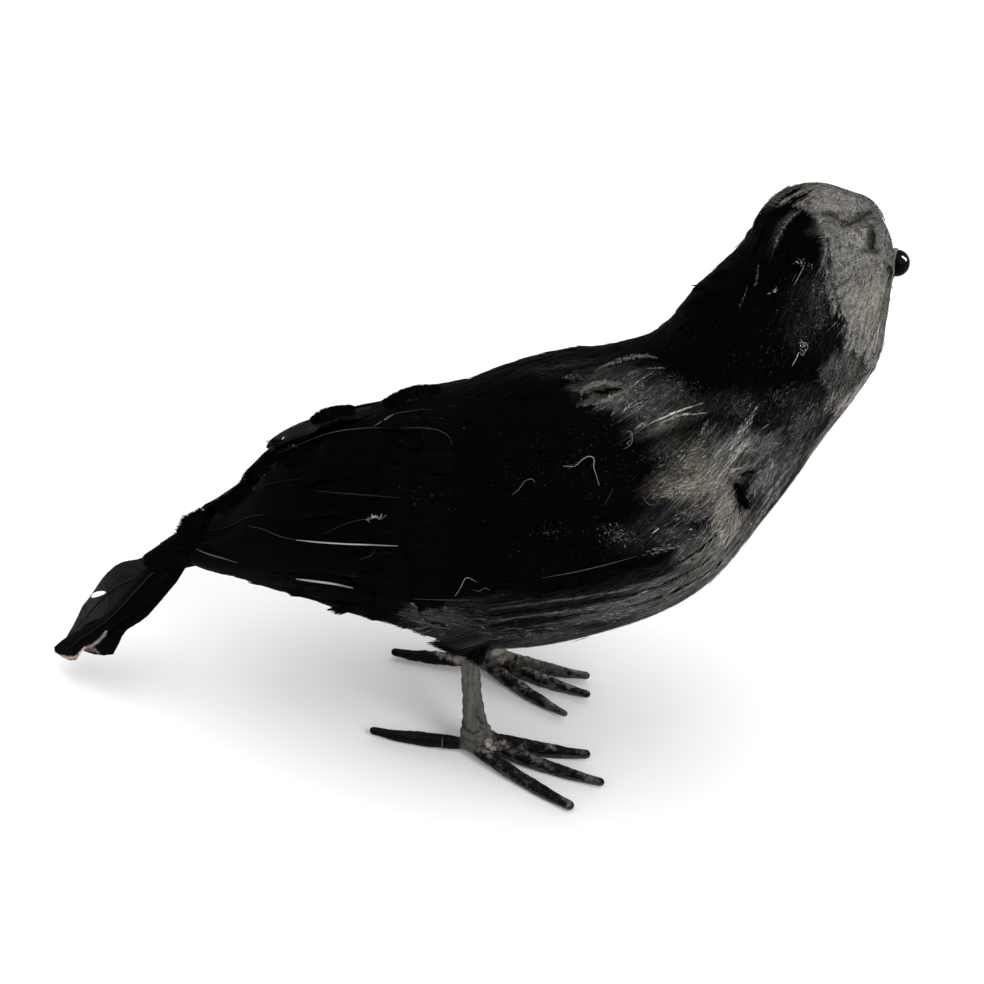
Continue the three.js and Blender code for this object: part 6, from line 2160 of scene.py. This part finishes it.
hang([(277, 453), (266, 469), (256, 479), (247, 491), (231, 504), (211, 514)],
     [(268, 451), (257, 463), (246, 471), (239, 483), (222, 497), (202, 507)], 1000, (3, 3, 3), 63, width=0.5,
     jitter=(1.4, 0.8))
hang([(314, 422), (326, 419), (340, 414), (354, 410)], [(310, 418), (321, 410), (335, 406), (350, 405)], 420,
     (3, 3, 3), 64, width=0.5, jitter=(1.2, 0.6))
hang([(386, 405), (398, 402), (410, 398), (422, 395), (440, 391)], [(382, 401), (393, 393.5), (406, 388), (419, 385),
     (437, 384.5)], 520,
     (3, 3, 3), 65, width=0.5, jitter=(1.2, 0.6))
hang([(282, 440), (276, 448)], [(266, 441), (268, 449)], 26, (8, 8, 8), 7, width=0.35, jitter=(1, 1.2))
# under the flank, little steps where the feathers end
hang([(306, 596), (300, 592)], [(293, 597), (286, 592)], 24, (5, 5, 5), 8, width=0.5, jitter=(1.2, 0.9))
hang([(352, 608), (344, 606)], [(338, 615), (326, 609)], 30, (5, 5, 5), 9, width=0.5, jitter=(1.2, 0.9))
hang([(388, 617), (380, 614)], [(374, 621), (362, 616)], 30, (6, 6, 6), 10, width=0.5, jitter=(1.2, 0.9))
hang([(418, 625), (408, 621)], [(404, 629), (394, 625)], 30, (24, 24, 24), 11, width=0.3, jitter=(1.4, 1.0), sigma=0.6)
hang([(440, 632), (430, 628)], [(424, 636), (412, 631)], 50, (34, 34, 34), 12, width=0.28, jitter=(1.6, 1.0), sigma=0.7)
# the plumage that comes down over the top of the leg
hang([(474, 635), (480, 643), (488, 648)], [(427, 643), (446, 651.5), (464, 656.5)], 420, (10, 10, 10), 13,
     width=0.24, near=1.4, jitter=(1.6, 1.0), sigma=0.7)
hang([(477, 646), (486, 648)], [(466, 659), (479, 667)], 190, (6, 6, 6), 14, width=0.24, near=3.0,
     jitter=(1.5, 1.6), sigma=0.7)
hang([(470, 630), (488, 640)], [(432, 640), (456, 650)], 110, (34, 34, 34), 15, width=0.2, near=1.5,
     jitter=(2.0, 1.2), sigma=0.7)
# painted light from below on the underside of the flank
grains([(398, 612), (425, 616), (462, 622)], (66, 66, 66), 680, 13, 92, size=9, turn=4, near=0.55, sigma=0.4)
grains([(400, 619), (425, 627), (458, 634)], (60, 60, 60), 460, 9, 93, size=9, turn=4, near=0.35, sigma=0.4)
grains([(412, 628), (430, 635), (450, 642)], (62, 62, 62), 130, 8, 91, size=4.5, turn=9)


def lay_hairs():
    root, tip = np.concatenate(ROOTS), np.concatenate(TIPS)
    half, tone, near = np.concatenate(HALF), np.concatenate(TONE), np.concatenate(NEAR)
    eye = Vector(EYE_AT)
    d = unit((root[:, :1] - 492) / FOCAL * V_RIGHT - (root[:, 1:] - 492) / FOCAL * V_UP - V_BACK)
    P0, N0, ok = np.zeros((len(root), 3)), np.zeros((len(root), 3)), np.zeros(len(root), bool)
    for i, q in enumerate(d.tolist()):
        hit, nrm, idx, dist = _tree.ray_cast(eye, Vector(q))
        if hit is not None:
            P0[i], N0[i], ok[i] = hit, nrm, True
    P0, N0, d, half, tone, near = P0[ok], N0[ok], d[ok], half[ok], tone[ok], near[ok]
    root, tip = root[ok], tip[ok]
    # the surface's own direction, smoothed: that of the body below, not of one barb
    N0 = N0 * np.sign(-(N0 * d).sum(1, keepdims=True))
    N0 = unit(N0 + 1.2 * -d)
    dt = unit((tip[:, :1] - 492) / FOCAL * V_RIGHT - (tip[:, 1:] - 492) / FOCAL * V_UP - V_BACK)
    # where the way to the tip meets the plane of the surface
    depth = ((P0 - EYE_AT) * N0).sum(1) / np.minimum((dt * N0).sum(1), -0.25)
    depth0 = np.linalg.norm(P0 - EYE_AT, axis=1)
    depth = np.clip(depth, depth0 - 3, depth0 + 3) - near
    P1 = EYE_AT + dt * depth[:, None]
    px = np.hypot(*(tip - root).T)
    V, F, C, off = [], [], [], 0
    # the shortest need no bend
    for sel, shape in ((px < 3.6, (1.0, 0.12)), (px >= 3.6, (0.7, 1.0, 0.1))):
        K = len(shape)
        p0, p1, nn_, dd = P0[sel], P1[sel], N0[sel], d[sel]
        tau = np.linspace(0, 1, K)[None, :, None]
        L = np.linalg.norm(p1 - p0, axis=1)
        rise = 0.12 + 0.18 * np.sin(np.pi * tau) * np.minimum(L, 3)[:, None, None] * 0.3
        mid = p0[:, None] * (1 - tau) + p1[:, None] * tau + nn_[:, None] * rise - dd[:, None] * 0.22
        acr = unit(np.cross(p1 - p0, -dd))[:, None]
        w = half[sel][:, None, None] * np.array(shape)[None, :, None]
        V.append(np.stack([mid - acr * w, mid + acr * w], 2).reshape(-1, 3))
        F.append(strip_faces(len(p0), K) + off)
        C.append(np.broadcast_to(tone[sel][:, None, None, :], (len(p0), K, 2, 3)).reshape(-1, 3))
        off += len(V[-1])
    return np.concatenate(V), np.concatenate(F), np.concatenate(C)


v_, f_, c_ = lay_hairs()
# the black ones are as dull as the plumage they lie in
dark = c_[f_[:, 0]].max(1) < lin(12).max()
for name, keep, stuff in (("fine_down", ~dark, M_LINT_AND_GLINTS), ("dark_down", dark, M_PLUME)):
    used, back = np.unique(f_[keep], return_inverse=True)
    own(mesh_piece(name, v_[used], back.reshape(f_[keep].shape), tone=c_[used], material=stuff))
own(lint_and_glints.piece("lint_and_glints", M_LINT_AND_GLINTS))

# --------------------------------------------------------------------------
# Floor, light, world
# --------------------------------------------------------------------------
m, nt, bsdf = new_material("floor")
co_ = node(nt, "ShaderNodeTexCoord")
ns = node(nt, "ShaderNodeTexNoise", Scale=3.0, Detail=2.0)
nt.links.new(co_.outputs["Object"], ns.inputs["Vector"])
cr = ramp(nt, ns.outputs["Fac"], [(0.3, 0.93), (0.7, 0.945)])
nt.links.new(cr.outputs["Color"], bsdf.inputs["Base Color"])
bsdf.inputs["Roughness"].default_value = 0.9
bsdf.inputs["Specular IOR Level"].default_value = 0.1
me = bpy.data.meshes.new("floor")
me.from_pydata([(-6, -6, 0), (6, -6, 0), (6, 6, 0), (-6, 6, 0)], [], [(0, 1, 2, 3)])
floor = bpy.data.objects.new("floor", me)
bpy.context.scene.collection.objects.link(floor)
me.materials.append(m)
floor.location.z = -0.0002
floor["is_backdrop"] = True

world = bpy.data.worlds.new("world")
bpy.context.scene.world = world
world.use_nodes = True
world.node_tree.nodes["Background"].inputs[0].default_value = (1, 1, 1, 1)
world.node_tree.nodes["Background"].inputs[1].default_value = 0.82


def area(name, where, to, size, power):
    d = bpy.data.lights.new(name, "AREA")
    d.shape = "RECTANGLE"
    d.size, d.size_y = size
    d.energy = power
    o = bpy.data.objects.new(name, d)
    bpy.context.scene.collection.objects.link(o)
    o.location = where
    o.rotation_euler = (Vector(to) - Vector(where)).to_track_quat("-Z", "Y").to_euler()
    return o


area("key", (0.75, -0.75, 0.9), (0.03, 0, 0.1), (0.5, 0.7), 7.0)
area("top", (0.1, 0.1, 1.5), (0, 0, 0), (1.2, 1.2), 9.0)
# a tall window for the beads alone, so that they show one clean highlight
window = area("window", (0.82, 0.12, 0.66), (0.118, -0.012, 0.164), (0.25, 0.70), 300.0)
beads = bpy.data.collections.new("beads")
for o in BEADS:
    beads.objects.link(o)
window.light_linking.receiver_collection = beads

low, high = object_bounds()
